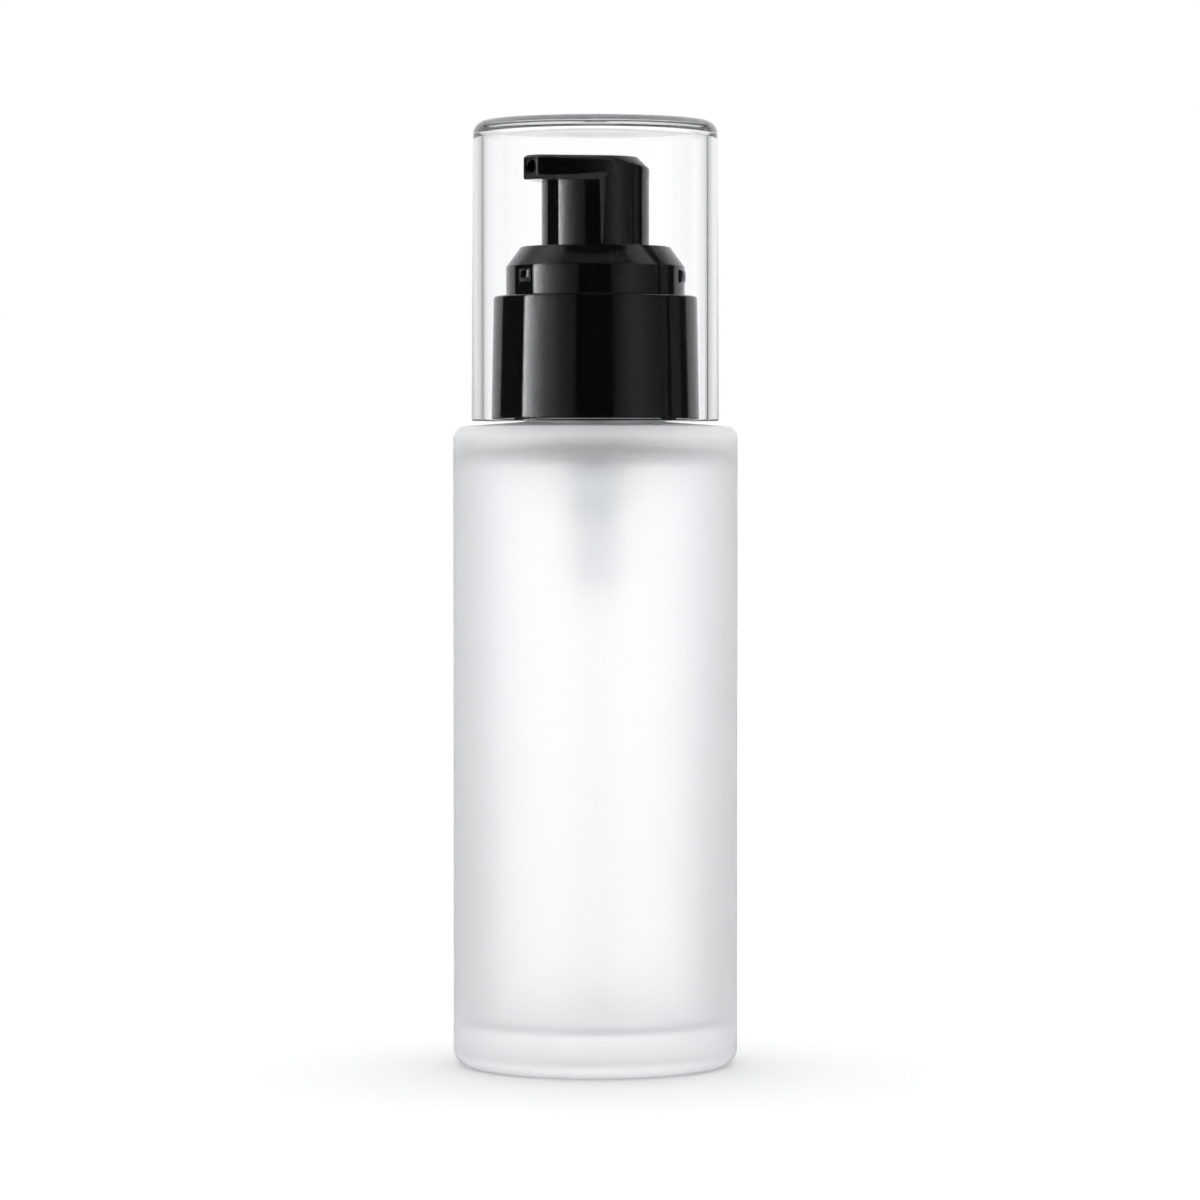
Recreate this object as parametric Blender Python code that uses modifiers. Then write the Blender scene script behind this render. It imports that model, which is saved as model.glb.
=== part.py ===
"""Serum pump bottle: a 50 ml frosted glass bottle, a black treatment pump and a clear overcap.

Metres, +Z up. The origin is the middle of the foot, on the axis that every turned piece shares.
The spout points along -Y. Run with: blender --background --python part.py
"""

import math

import bmesh
import bpy
from mathutils import Matrix

# Glass bottle
BOTTLE_RADIUS = 0.0185
SHOULDER_EDGE_HEIGHT = 0.0831
SHOULDER_RISE = 0.0006
SHOULDER_CORNER = 0.0016
SHOULDER_THICKNESS = 0.0030
FOOT_CORNER = 0.0021
FOOT_RING_WIDTH = 0.0028
PUNT_DEPTH = 0.0008
PUNT_SLOPE_WIDTH = 0.0020
BASE_THICKNESS = 0.0055
GLASS_WALL = 0.0032
CAVITY_CORNER = 0.0024
NECK_HEIGHT = 0.0123
NECK_BORE_RADIUS = 0.0066
NECK_WALL = 0.0021
NECK_FILLET = 0.0007
LIP_ROUNDING = 0.0004

# Screw thread between the neck and the closure
THREAD_PITCH = 0.003175
THREAD_TURNS = 1.5
THREAD_DEPTH = 0.0011
THREAD_TOP_DROP = 0.0021
THREAD_CLEARANCE = 0.0004
CLOSURE_FLIGHT_DEPTH = 0.0008

# Screw closure and its glossy outer shell
CLOSURE_WALL = 0.0012
CLOSURE_PLATE = 0.0007
CLOSURE_RECESS = 0.0006
RIB_COUNT = 16
RIB_HEIGHT = 0.0006
RIB_WIDTH = 0.0010
RIB_TOP_DROP = 0.0012
SHELL_WALL = 0.00095
SHELL_PLATE = 0.0007
SHELL_DRAFT = 0.0003
SHELL_EDGE = 0.0003
COLLAR_GAP = 0.00047

# Shoulder ring that the actuator dips into
RING_BAND_HEIGHT = 0.00355
RING_CHAMFER_HEIGHT = 0.00255
RING_CHAMFER_WIDTH = 0.00186
RING_TOP_WIDTH = 0.00247
RING_WALL = 0.0011
RING_TOP_PLATE = 0.0012
RING_FLOOR = 0.0007
RING_TUBE_WALL = 0.0007
RING_BUMP_COUNT = 3
RING_BUMP_WIDTH = 0.0019
RING_BUMP_HEIGHT = 0.00165
RING_BUMP_PROUD = 0.00035
RING_BUMP_DROP = 0.00135
RING_BUMP_ANGLE = math.radians(267)

# Pump housing
HOUSING_BORE_RADIUS = 0.0035
HOUSING_WALL = 0.0008
HOUSING_FLANGE = 0.0007
HOUSING_RIM_RISE = 0.0053
HOUSING_RIM_WALL = 0.0007
HOUSING_TAPER_HEIGHT = 0.0035
TAIL_WALL = 0.0008
TAIL_LENGTH = 0.0085
INLET_SEAT_WIDTH = 0.0004
INLET_LENGTH = 0.0012
VENT_RADIUS = 0.0005
VENT_DROP = 0.0030
NIB_GRIP = 0.00025
NIB_HEIGHT = 0.0005
NIB_SLOT_WIDTH = 0.0013
NIB_SLOT_COUNT = 3

# Stem guide, stem, valve pin and piston
STEM_RADIUS = 0.0021
STEM_BORE_RADIUS = 0.0012
STEM_STOP_THICKNESS = 0.0006
GUIDE_WALL = 0.0015
GUIDE_FLANGE = 0.0006
GUIDE_NOSE_DROP = 0.0008
PISTON_HEIGHT = 0.0040
PISTON_LIP_HEIGHT = 0.0009
PISTON_WAIST = 0.0003
PISTON_PORT_WIDTH = 0.0007
PISTON_SEAT_HEIGHT = 0.0011
PIN_SHANK_GRIP = 0.0022
PIN_HEAD_SIDE_GAP = 0.0006
PIN_HEAD_HEIGHT = 0.0008
PIN_GUIDE_LENGTH = 0.0016
PIN_FLAT_DEPTH = 0.0003

# Return spring, inlet ball, gasket and dip tube
SPRING_WIRE_RADIUS = 0.0003
SPRING_SIDE_GAP = 0.0006
SPRING_LENGTH = 0.0128
SPRING_CURLS = 8
SPRING_END_CURLS = 1
SPRING_END_GAP = 0.00045
BALL_RADIUS = 0.0015
BALL_LIFT = 0.0008
GASKET_THICKNESS = 0.0007
GASKET_INSET = 0.0002
DIP_TUBE_RADIUS = 0.00185
DIP_TUBE_WALL = 0.0006
DIP_TUBE_FLOOR_GAP = 0.0015
DIP_TUBE_CUT_ANGLE = math.radians(35)
SLANT_CUTTER_SIDE_SHARE = 6.0

# Actuator with its spout
STROKE = 0.0045
LOST_MOTION = 0.0006
SKIRT_WALL = 0.0008
ACTUATOR_HEIGHT = 0.0121
HEAD_HEIGHT = 0.00295
HEAD_PROUD = 0.00003
HEAD_EDGE = 0.00025
HEAD_BACK_CHAMFER = 0.0017
SPOUT_REACH = 0.0114
SPOUT_WIDTH = 0.0028
SPOUT_BORE_RADIUS = 0.00075
BOSS_WALL = 0.0012
SOCKET_DEPTH = 0.0040
PASSAGE_RADIUS = 0.0011

# Clear overcap
CAP_WALL = 0.0013
CAP_TOP_THICKNESS = 0.00085
CAP_HEADROOM = 0.00395
CAP_COLLAR_GAP = 0.00103
CAP_OUTER_ROUNDING = 0.0017
CAP_INNER_ROUNDING = 0.0009
CAP_DRAFT = 0.00022
CAP_DROP = 0.00042
CAP_BEAD_HEIGHT = 0.0007
CAP_BEAD_BLEND = 0.0006
CAP_RIM_EDGE = 0.00025

# Clearances: between stacked faces, round what slides or turns, and round what plugs in
SEAT_GAP = 0.0003
RUNNING_GAP = 0.0003
FIT_GAP = 0.0003
OVERRUN = 0.0010
MERGE_DISTANCE = 0.000002

# Facets round a full turn, along an arc and along a coil, and a wire's extra facets per quarter
OUTER_STEPS = 48
INNER_STEPS = 24
HOLE_STEPS = 16
HEAD_STEPS = 30
BALL_SEGMENTS = 16
THREAD_STEPS = 22
SPRING_STEPS = 10
ARC_STEPS = 4
THREAD_WIRE_FACETS = 2
SPRING_WIRE_FACETS = 1

# Radii that follow from the sizes above, from the axis outwards
GUIDE_BORE_RADIUS = STEM_RADIUS + RUNNING_GAP
GUIDE_RADIUS = GUIDE_BORE_RADIUS + GUIDE_WALL
RIM_BORE_RADIUS = GUIDE_RADIUS + FIT_GAP
RIM_RADIUS = RIM_BORE_RADIUS + HOUSING_RIM_WALL
RING_TUBE_BORE = RIM_RADIUS + FIT_GAP
RING_TUBE_RADIUS = RING_TUBE_BORE + RING_TUBE_WALL
SKIRT_BORE_RADIUS = RING_TUBE_RADIUS + RUNNING_GAP
SKIRT_RADIUS = SKIRT_BORE_RADIUS + SKIRT_WALL
RING_HOLE_RADIUS = SKIRT_RADIUS + RUNNING_GAP
RING_TOP_RADIUS = RING_HOLE_RADIUS + RING_TOP_WIDTH
RING_RADIUS = RING_TOP_RADIUS + RING_CHAMFER_WIDTH
HOUSING_RADIUS = HOUSING_BORE_RADIUS + HOUSING_WALL
GUIDE_NOSE_RADIUS = HOUSING_BORE_RADIUS - FIT_GAP
STEM_STOP_RADIUS = HOUSING_BORE_RADIUS - RUNNING_GAP
PISTON_RADIUS = HOUSING_BORE_RADIUS - RUNNING_GAP
PISTON_BORE_RADIUS = STEM_RADIUS + RUNNING_GAP
PIN_SHANK_RADIUS = STEM_BORE_RADIUS - FIT_GAP
PISTON_PORT_RADIUS = PIN_SHANK_RADIUS + PISTON_PORT_WIDTH
PIN_HEAD_RADIUS = HOUSING_BORE_RADIUS - PIN_HEAD_SIDE_GAP
SPRING_MEAN_RADIUS = HOUSING_BORE_RADIUS - SPRING_SIDE_GAP - SPRING_WIRE_RADIUS
PIN_GUIDE_RADIUS = SPRING_MEAN_RADIUS - SPRING_WIRE_RADIUS - RUNNING_GAP
SOCKET_RADIUS = STEM_RADIUS + FIT_GAP
NECK_RADIUS = NECK_BORE_RADIUS + NECK_WALL
FLANGE_RADIUS = NECK_RADIUS - GASKET_INSET
CLOSURE_HOLE_RADIUS = RIM_RADIUS + RUNNING_GAP
CLOSURE_BORE_RADIUS = NECK_RADIUS + THREAD_DEPTH + THREAD_CLEARANCE
CLOSURE_RADIUS = CLOSURE_BORE_RADIUS + CLOSURE_WALL
SHELL_BORE_RADIUS = CLOSURE_RADIUS + RIB_HEIGHT + FIT_GAP
SHELL_TOP_RADIUS = SHELL_BORE_RADIUS + SHELL_WALL
SHELL_FOOT_RADIUS = SHELL_TOP_RADIUS + SHELL_DRAFT
CAP_BEAD_RADIUS = SHELL_FOOT_RADIUS + RUNNING_GAP
CAP_BORE_RADIUS = SHELL_FOOT_RADIUS + CAP_COLLAR_GAP
CAP_RADIUS = CAP_BORE_RADIUS + CAP_WALL
CAVITY_RADIUS = BOTTLE_RADIUS - GLASS_WALL
TUBE_SOCKET_RADIUS = DIP_TUBE_RADIUS + FIT_GAP
TAIL_RADIUS = TUBE_SOCKET_RADIUS + TAIL_WALL
BALL_CHAMBER_RADIUS = BALL_RADIUS + RUNNING_GAP
INLET_RADIUS = BALL_RADIUS - INLET_SEAT_WIDTH
NIB_RADIUS = BALL_RADIUS - NIB_GRIP

# Heights that follow, up the neck and the pump
NECK_ROOT_Z = SHOULDER_EDGE_HEIGHT + SHOULDER_RISE
COLLAR_FOOT_Z = NECK_ROOT_Z + COLLAR_GAP
LAND_Z = NECK_ROOT_Z + NECK_HEIGHT
GASKET_Z = LAND_Z + SEAT_GAP
FLANGE_Z = GASKET_Z + GASKET_THICKNESS + SEAT_GAP
FLANGE_TOP_Z = FLANGE_Z + HOUSING_FLANGE
CLOSURE_PLATE_Z = FLANGE_TOP_Z + SEAT_GAP
CLOSURE_TOP_Z = CLOSURE_PLATE_Z + CLOSURE_PLATE
SHELL_PLATE_Z = CLOSURE_TOP_Z + SEAT_GAP
SHELL_TOP_Z = SHELL_PLATE_Z + SHELL_PLATE
RING_Z = SHELL_TOP_Z + SEAT_GAP
RING_FLOOR_TOP_Z = RING_Z + RING_FLOOR
RING_BAND_TOP_Z = RING_Z + RING_BAND_HEIGHT
RING_TOP_Z = RING_BAND_TOP_Z + RING_CHAMFER_HEIGHT
RIM_TOP_Z = FLANGE_TOP_Z + HOUSING_RIM_RISE
GUIDE_TOP_Z = RIM_TOP_Z + SEAT_GAP + GUIDE_FLANGE
GUIDE_NOSE_Z = FLANGE_Z - GUIDE_NOSE_DROP
SKIRT_Z = RING_FLOOR_TOP_Z + SEAT_GAP + STROKE
ACTUATOR_TOP_Z = SKIRT_Z + ACTUATOR_HEIGHT
HEAD_Z = ACTUATOR_TOP_Z - HEAD_HEIGHT
SPOUT_Z = HEAD_Z + HEAD_HEIGHT / 2
BOSS_Z = GUIDE_TOP_Z + SEAT_GAP + STROKE
SOCKET_TOP_Z = BOSS_Z + SOCKET_DEPTH
STEM_TOP_Z = SOCKET_TOP_Z - SEAT_GAP

# Heights down the pump, from the stem guide to the end of the dip tube
STEM_STOP_TOP_Z = GUIDE_NOSE_Z - SEAT_GAP
STEM_STOP_Z = STEM_STOP_TOP_Z - STEM_STOP_THICKNESS
PISTON_TOP_Z = STEM_STOP_Z - LOST_MOTION - SEAT_GAP
PISTON_Z = PISTON_TOP_Z - PISTON_HEIGHT
PISTON_SEAT_TOP_Z = PISTON_Z + PISTON_SEAT_HEIGHT
STEM_Z = PISTON_SEAT_TOP_Z + LOST_MOTION + SEAT_GAP
PIN_HEAD_TOP_Z = PISTON_Z - SEAT_GAP
PIN_HEAD_Z = PIN_HEAD_TOP_Z - PIN_HEAD_HEIGHT
SPRING_TOP_Z = PIN_HEAD_Z - SEAT_GAP
SPRING_Z = SPRING_TOP_Z - SPRING_LENGTH
LEDGE_Z = SPRING_Z - SEAT_GAP
NIB_Z = LEDGE_Z - NIB_HEIGHT
BALL_Z = NIB_Z - SEAT_GAP - BALL_LIFT - BALL_RADIUS
INLET_TOP_Z = BALL_Z - SEAT_GAP - math.sqrt(BALL_RADIUS**2 - INLET_RADIUS**2)
TUBE_STOP_Z = INLET_TOP_Z - INLET_LENGTH
TAIL_Z = TUBE_STOP_Z - TAIL_LENGTH
DIP_TUBE_TOP_Z = TUBE_STOP_Z - SEAT_GAP
DIP_TUBE_Z = BASE_THICKNESS + DIP_TUBE_FLOOR_GAP
CAP_RIM_Z = COLLAR_FOOT_Z - CAP_DROP
CAP_CEILING_Z = ACTUATOR_TOP_Z + CAP_HEADROOM
CAP_TOP_Z = CAP_CEILING_Z + CAP_TOP_THICKNESS


def clear_scene():
    for old in list(bpy.data.objects):
        bpy.data.objects.remove(old, do_unlink=True)


def new_collection(name):
    collection = bpy.data.collections.new(name)
    bpy.context.scene.collection.children.link(collection)
    return collection


def finish_of(name, colour, roughness, metallic=0.0, transmission=0.0, ior=1.5):
    material = bpy.data.materials.new(name)
    material.use_nodes = True
    shader = material.node_tree.nodes["Principled BSDF"]
    shader.inputs["Base Color"].default_value = (*colour, 1.0)
    shader.inputs["Roughness"].default_value = roughness
    shader.inputs["Metallic"].default_value = metallic
    shader.inputs["Transmission Weight"].default_value = transmission
    shader.inputs["IOR"].default_value = ior
    material.diffuse_color = (*colour, 1.0)
    return material


def linked(name, mesh, collection, material=None):
    piece = bpy.data.objects.new(name, mesh)
    collection.objects.link(piece)
    if material:
        piece.data.materials.append(material)
    return piece


def as_cutter(piece):
    piece.hide_render = True
    piece.display_type = "WIRE"
    return piece


def arc(centre_r, centre_z, radius, start, end, steps=ARC_STEPS):
    """Points on a quarter or other arc of a profile, angles in degrees from +R towards +Z."""
    turns = [math.radians(start + (end - start) * i / steps) for i in range(steps + 1)]
    return [(centre_r + radius * math.cos(t), centre_z + radius * math.sin(t)) for t in turns]


def turned(name, profile, collection, material=None, steps=OUTER_STEPS, closed=True):
    """A profile of (radius, height) points, its outer side running down, swept round the axis."""
    mesh = bpy.data.meshes.new(name)
    edges = [(i, i + 1) for i in range(len(profile) - 1)]
    if closed:
        edges.append((len(profile) - 1, 0))
    mesh.from_pydata([(r, 0.0, z) for r, z in profile], edges, [])
    piece = linked(name, mesh, collection, material)
    screw = piece.modifiers.new("Turn", "SCREW")
    screw.axis = "Z"
    screw.angle = math.tau
    screw.steps = steps
    screw.render_steps = steps
    screw.use_merge_vertices = True
    screw.merge_threshold = MERGE_DISTANCE
    screw.use_smooth_shade = True
    return piece


def from_shape(name, shape, collection, material=None):
    mesh = bpy.data.meshes.new(name)
    shape.to_mesh(mesh)
    shape.free()
    return linked(name, mesh, collection, material)


def post(name, radius, low, high, collection, steps=INNER_STEPS):
    """A plain cylinder on the axis between two heights, used to cut or to join."""
    shape = bmesh.new()
    bmesh.ops.create_cone(
        shape, cap_ends=True, segments=steps, radius1=radius, radius2=radius, depth=high - low
    )
    bmesh.ops.translate(shape, vec=(0.0, 0.0, (low + high) / 2), verts=shape.verts)
    return from_shape(name, shape, collection)


def block(name, size, centre, turn, collection):
    """A box of that size, centred at a point and then turned about the axis."""
    shape = bmesh.new()
    bmesh.ops.create_cube(shape, size=1.0)
    bmesh.ops.scale(shape, vec=size, verts=shape.verts)
    bmesh.ops.translate(shape, vec=centre, verts=shape.verts)
    bmesh.ops.rotate(shape, matrix=Matrix.Rotation(turn, 3, "Z"), verts=shape.verts)
    return from_shape(name, shape, collection)


def combine(piece, tool, operation):
    boolean = piece.modifiers.new(f"{operation.title()} {tool.name}", "BOOLEAN")
    boolean.operation = operation
    boolean.solver = "EXACT"
    boolean.object = as_cutter(tool)


def join(piece, tool):
    combine(piece, tool, "UNION")


def cut(piece, tool):
    combine(piece, tool, "DIFFERENCE")


def round_axis(radius, turns, z):
    """The point that many turns round the axis from +X, at a radius and a height."""
    return (radius * math.cos(math.tau * turns), radius * math.sin(math.tau * turns), z)


def wire(name, points, depth, widths, resolution, collection, material=None):
    """A round wire through the points, with a width share at each, made a closed mesh."""
    data = bpy.data.curves.new(name, "CURVE")
    data.dimensions = "3D"
    data.bevel_depth = depth
    data.bevel_resolution = resolution
    data.use_fill_caps = True
    spline = data.splines.new("POLY")
    spline.points.add(len(points) - 1)
    for point, place, width in zip(spline.points, points, widths):
        point.co = (*place, 1.0)
        point.radius = width
    curve = bpy.data.objects.new(name + "_path", data)
    collection.objects.link(curve)
    bpy.context.view_layer.update()
    graph = bpy.context.evaluated_depsgraph_get()
    mesh = bpy.data.meshes.new_from_object(curve.evaluated_get(graph))
    shape = bmesh.new()
    shape.from_mesh(mesh)
    bmesh.ops.remove_doubles(shape, verts=shape.verts, dist=MERGE_DISTANCE)
    bmesh.ops.recalc_face_normals(shape, faces=shape.faces)
    piece = from_shape(name, shape, collection, material)
    piece.matrix_world = curve.matrix_world
    bpy.data.objects.remove(curve, do_unlink=True)
    return piece


def thread(name, radius, middle_z, depth, collection):
    """One right-hand flight whose ends run out into the wall, centred on the wall's surface."""
    low = middle_z - THREAD_PITCH * THREAD_TURNS / 2
    turns = [i / THREAD_STEPS for i in range(round(THREAD_TURNS * THREAD_STEPS) + 1)]
    points = [round_axis(radius, turn, low + THREAD_PITCH * turn) for turn in turns]
    run_out_shares = (0.35, 0.75)
    middle = len(points) - 2 * len(run_out_shares)
    widths = [*run_out_shares, *[1.0] * middle, *reversed(run_out_shares)]
    return wire(name, points, depth, widths, THREAD_WIRE_FACETS, collection)


def build_bottle(parts, tools, glass):
    shoulder_edge_r = BOTTLE_RADIUS - SHOULDER_CORNER
    foot_r = BOTTLE_RADIUS - FOOT_CORNER
    ring_r = foot_r - FOOT_RING_WIDTH
    cavity_top = SHOULDER_EDGE_HEIGHT - SHOULDER_THICKNESS
    neck_cavity_top = NECK_ROOT_Z - SHOULDER_THICKNESS
    outside = [
        (NECK_BORE_RADIUS + LIP_ROUNDING, LAND_Z),
        (NECK_RADIUS - LIP_ROUNDING, LAND_Z),
        (NECK_RADIUS, LAND_Z - LIP_ROUNDING),
        (NECK_RADIUS, NECK_ROOT_Z + NECK_FILLET),
        (NECK_RADIUS + NECK_FILLET, NECK_ROOT_Z),
        *arc(shoulder_edge_r, SHOULDER_EDGE_HEIGHT - SHOULDER_CORNER, SHOULDER_CORNER, 90, 0),
        *arc(foot_r, FOOT_CORNER, FOOT_CORNER, 0, -90),
        (ring_r, 0.0),
        (ring_r - PUNT_SLOPE_WIDTH, PUNT_DEPTH),
        (0.0, PUNT_DEPTH),
    ]
    inside = [
        (0.0, BASE_THICKNESS),
        *arc(CAVITY_RADIUS - CAVITY_CORNER, BASE_THICKNESS + CAVITY_CORNER, CAVITY_CORNER, -90, 0),
        *arc(CAVITY_RADIUS - CAVITY_CORNER, cavity_top - CAVITY_CORNER, CAVITY_CORNER, 0, 90),
        (NECK_BORE_RADIUS + NECK_FILLET, neck_cavity_top),
        (NECK_BORE_RADIUS, neck_cavity_top + NECK_FILLET),
        (NECK_BORE_RADIUS, LAND_Z - LIP_ROUNDING),
        (NECK_BORE_RADIUS + LIP_ROUNDING, LAND_Z),
    ]
    bottle = turned("glass_bottle", outside + inside, parts, glass, closed=False)
    middle_z = LAND_Z - THREAD_TOP_DROP - THREAD_PITCH * THREAD_TURNS / 2
    join(bottle, thread("neck_thread_flight", NECK_RADIUS, middle_z, THREAD_DEPTH, tools))
    return bottle


def build_closure(parts, tools, plastic):
    foot_z = COLLAR_FOOT_Z + CLOSURE_RECESS
    profile = [
        (CLOSURE_HOLE_RADIUS, CLOSURE_TOP_Z),
        (CLOSURE_RADIUS - SHELL_EDGE, CLOSURE_TOP_Z),
        (CLOSURE_RADIUS, CLOSURE_TOP_Z - SHELL_EDGE),
        (CLOSURE_RADIUS, foot_z),
        (CLOSURE_BORE_RADIUS, foot_z),
        (CLOSURE_BORE_RADIUS, CLOSURE_PLATE_Z),
        (CLOSURE_HOLE_RADIUS, CLOSURE_PLATE_Z),
    ]
    closure = turned("screw_closure", profile, parts, plastic)
    middle_z = LAND_Z - THREAD_TOP_DROP - THREAD_PITCH * (THREAD_TURNS + 1) / 2
    flight = thread("closure_thread_flight", CLOSURE_BORE_RADIUS, middle_z, CLOSURE_FLIGHT_DEPTH, tools)
    join(closure, flight)
    rib_top = CLOSURE_TOP_Z - RIB_TOP_DROP
    rib_low = foot_z + RIB_TOP_DROP
    rib_reach = RIB_HEIGHT + CLOSURE_WALL / 2
    middle = (CLOSURE_RADIUS + RIB_HEIGHT - rib_reach / 2, 0.0, (rib_top + rib_low) / 2)
    for i in range(RIB_COUNT):
        size = (rib_reach, RIB_WIDTH, rib_top - rib_low)
        join(closure, block(f"closure_rib_{i}", size, middle, math.tau * i / RIB_COUNT, tools))
    return closure


def build_shell(parts, plastic):
    profile = [
        (CLOSURE_HOLE_RADIUS, SHELL_TOP_Z),
        *arc(SHELL_TOP_RADIUS - SHELL_EDGE, SHELL_TOP_Z - SHELL_EDGE, SHELL_EDGE, 90, 0),
        (SHELL_FOOT_RADIUS, COLLAR_FOOT_Z),
        (SHELL_BORE_RADIUS, COLLAR_FOOT_Z),
        (SHELL_BORE_RADIUS, SHELL_PLATE_Z),
        (CLOSURE_HOLE_RADIUS, SHELL_PLATE_Z),
    ]
    return turned("collar_shell", profile, parts, plastic)


def build_ring(parts, tools, plastic):
    core_top = RING_BAND_TOP_Z - RING_WALL / 2
    inner_wall_r = RING_HOLE_RADIUS + RING_WALL
    core_r = RING_RADIUS - RING_WALL
    profile = [
        (RING_HOLE_RADIUS, RING_TOP_Z),
        (RING_TOP_RADIUS, RING_TOP_Z),
        (RING_RADIUS, RING_BAND_TOP_Z),
        (RING_RADIUS, RING_Z),
        (core_r, RING_Z),
        (core_r, core_top),
        (inner_wall_r, RING_TOP_Z - RING_TOP_PLATE),
        (inner_wall_r, RING_Z),
        (RING_TUBE_BORE, RING_Z),
        (RING_TUBE_BORE, RIM_TOP_Z),
        (RING_TUBE_RADIUS, RIM_TOP_Z),
        (RING_TUBE_RADIUS, RING_FLOOR_TOP_Z),
        (RING_HOLE_RADIUS, RING_FLOOR_TOP_Z),
    ]
    ring = turned("shoulder_ring", profile, parts, plastic)
    depth = RING_BUMP_PROUD + RING_WALL / 2
    middle_r = RING_RADIUS + RING_BUMP_PROUD - depth / 2
    middle_z = RING_BAND_TOP_Z - RING_BUMP_DROP
    size = (depth, RING_BUMP_WIDTH, RING_BUMP_HEIGHT)
    for i in range(RING_BUMP_COUNT):
        turn = RING_BUMP_ANGLE + math.tau * i / RING_BUMP_COUNT
        join(ring, block(f"ring_bump_{i}", size, (middle_r, 0.0, middle_z), turn, tools))
    return ring


def build_gasket(parts, foam):
    bore = HOUSING_RADIUS + FIT_GAP
    top = GASKET_Z + GASKET_THICKNESS
    profile = [(bore, top), (FLANGE_RADIUS, top), (FLANGE_RADIUS, GASKET_Z), (bore, GASKET_Z)]
    return turned("neck_gasket", profile, parts, foam, INNER_STEPS)


def build_housing(parts, tools, plastic):
    body_foot = LEDGE_Z - HOUSING_WALL
    tail_top = body_foot - HOUSING_TAPER_HEIGHT
    chamber_foot = INLET_TOP_Z + BALL_CHAMBER_RADIUS - INLET_RADIUS
    outside = [
        (RIM_BORE_RADIUS, RIM_TOP_Z),
        (RIM_RADIUS, RIM_TOP_Z),
        (RIM_RADIUS, FLANGE_TOP_Z),
        (FLANGE_RADIUS, FLANGE_TOP_Z),
        (FLANGE_RADIUS, FLANGE_Z),
        (HOUSING_RADIUS, FLANGE_Z),
        (HOUSING_RADIUS, body_foot),
        (TAIL_RADIUS, tail_top),
        (TAIL_RADIUS, TAIL_Z),
    ]
    inside = [
        (TUBE_SOCKET_RADIUS, TAIL_Z),
        (TUBE_SOCKET_RADIUS, TUBE_STOP_Z),
        (INLET_RADIUS, TUBE_STOP_Z),
        (INLET_RADIUS, INLET_TOP_Z),
        (BALL_CHAMBER_RADIUS, chamber_foot),
        (BALL_CHAMBER_RADIUS, NIB_Z),
        (NIB_RADIUS, NIB_Z),
        (NIB_RADIUS, LEDGE_Z),
        (HOUSING_BORE_RADIUS, LEDGE_Z),
        (HOUSING_BORE_RADIUS, FLANGE_TOP_Z),
        (RIM_BORE_RADIUS, FLANGE_TOP_Z),
    ]
    housing = turned("pump_housing", outside + inside, parts, plastic, INNER_STEPS)
    slot_depth = BALL_CHAMBER_RADIUS
    slot_size = (slot_depth, NIB_SLOT_WIDTH, NIB_HEIGHT * 2)
    for i in range(NIB_SLOT_COUNT):
        place = (slot_depth / 2, 0.0, NIB_Z + NIB_HEIGHT / 2)
        cut(housing, block(f"nib_slot_{i}", slot_size, place, math.tau * i / NIB_SLOT_COUNT, tools))
    vent = post("vent_hole", VENT_RADIUS, 0.0, HOUSING_RADIUS + OVERRUN, tools, HOLE_STEPS)
    vent.rotation_euler.y = math.pi / 2
    vent.location.z = FLANGE_Z - VENT_DROP
    cut(housing, vent)
    return housing


def build_guide(parts, plastic):
    profile = [
        (GUIDE_BORE_RADIUS, GUIDE_TOP_Z),
        (RIM_RADIUS, GUIDE_TOP_Z),
        (RIM_RADIUS, RIM_TOP_Z + SEAT_GAP),
        (GUIDE_RADIUS, RIM_TOP_Z + SEAT_GAP),
        (GUIDE_RADIUS, FLANGE_TOP_Z + SEAT_GAP),
        (GUIDE_NOSE_RADIUS, FLANGE_TOP_Z + SEAT_GAP),
        (GUIDE_NOSE_RADIUS, GUIDE_NOSE_Z),
        (GUIDE_BORE_RADIUS, GUIDE_NOSE_Z),
    ]
    return turned("stem_guide", profile, parts, plastic, INNER_STEPS)


def build_stem(parts, plastic):
    profile = [
        (STEM_BORE_RADIUS, STEM_TOP_Z),
        (STEM_RADIUS, STEM_TOP_Z),
        (STEM_RADIUS, STEM_STOP_TOP_Z),
        (STEM_STOP_RADIUS, STEM_STOP_TOP_Z),
        (STEM_STOP_RADIUS, STEM_STOP_Z),
        (STEM_RADIUS, STEM_STOP_Z),
        (STEM_RADIUS, STEM_Z),
        (STEM_BORE_RADIUS, STEM_Z),
    ]
    return turned("stem", profile, parts, plastic, INNER_STEPS)


def build_piston(parts, plastic):
    waist_r = PISTON_RADIUS - PISTON_WAIST
    profile = [
        (PISTON_BORE_RADIUS, PISTON_TOP_Z),
        (PISTON_RADIUS, PISTON_TOP_Z),
        (PISTON_RADIUS, PISTON_TOP_Z - PISTON_LIP_HEIGHT / 2),
        (waist_r, PISTON_TOP_Z - PISTON_LIP_HEIGHT),
        (waist_r, PISTON_Z + PISTON_LIP_HEIGHT),
        (PISTON_RADIUS, PISTON_Z + PISTON_LIP_HEIGHT / 2),
        (PISTON_RADIUS, PISTON_Z),
        (PISTON_PORT_RADIUS, PISTON_Z),
        (PISTON_PORT_RADIUS, PISTON_SEAT_TOP_Z),
        (PISTON_BORE_RADIUS, PISTON_SEAT_TOP_Z),
    ]
    return turned("piston", profile, parts, plastic, INNER_STEPS)


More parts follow.
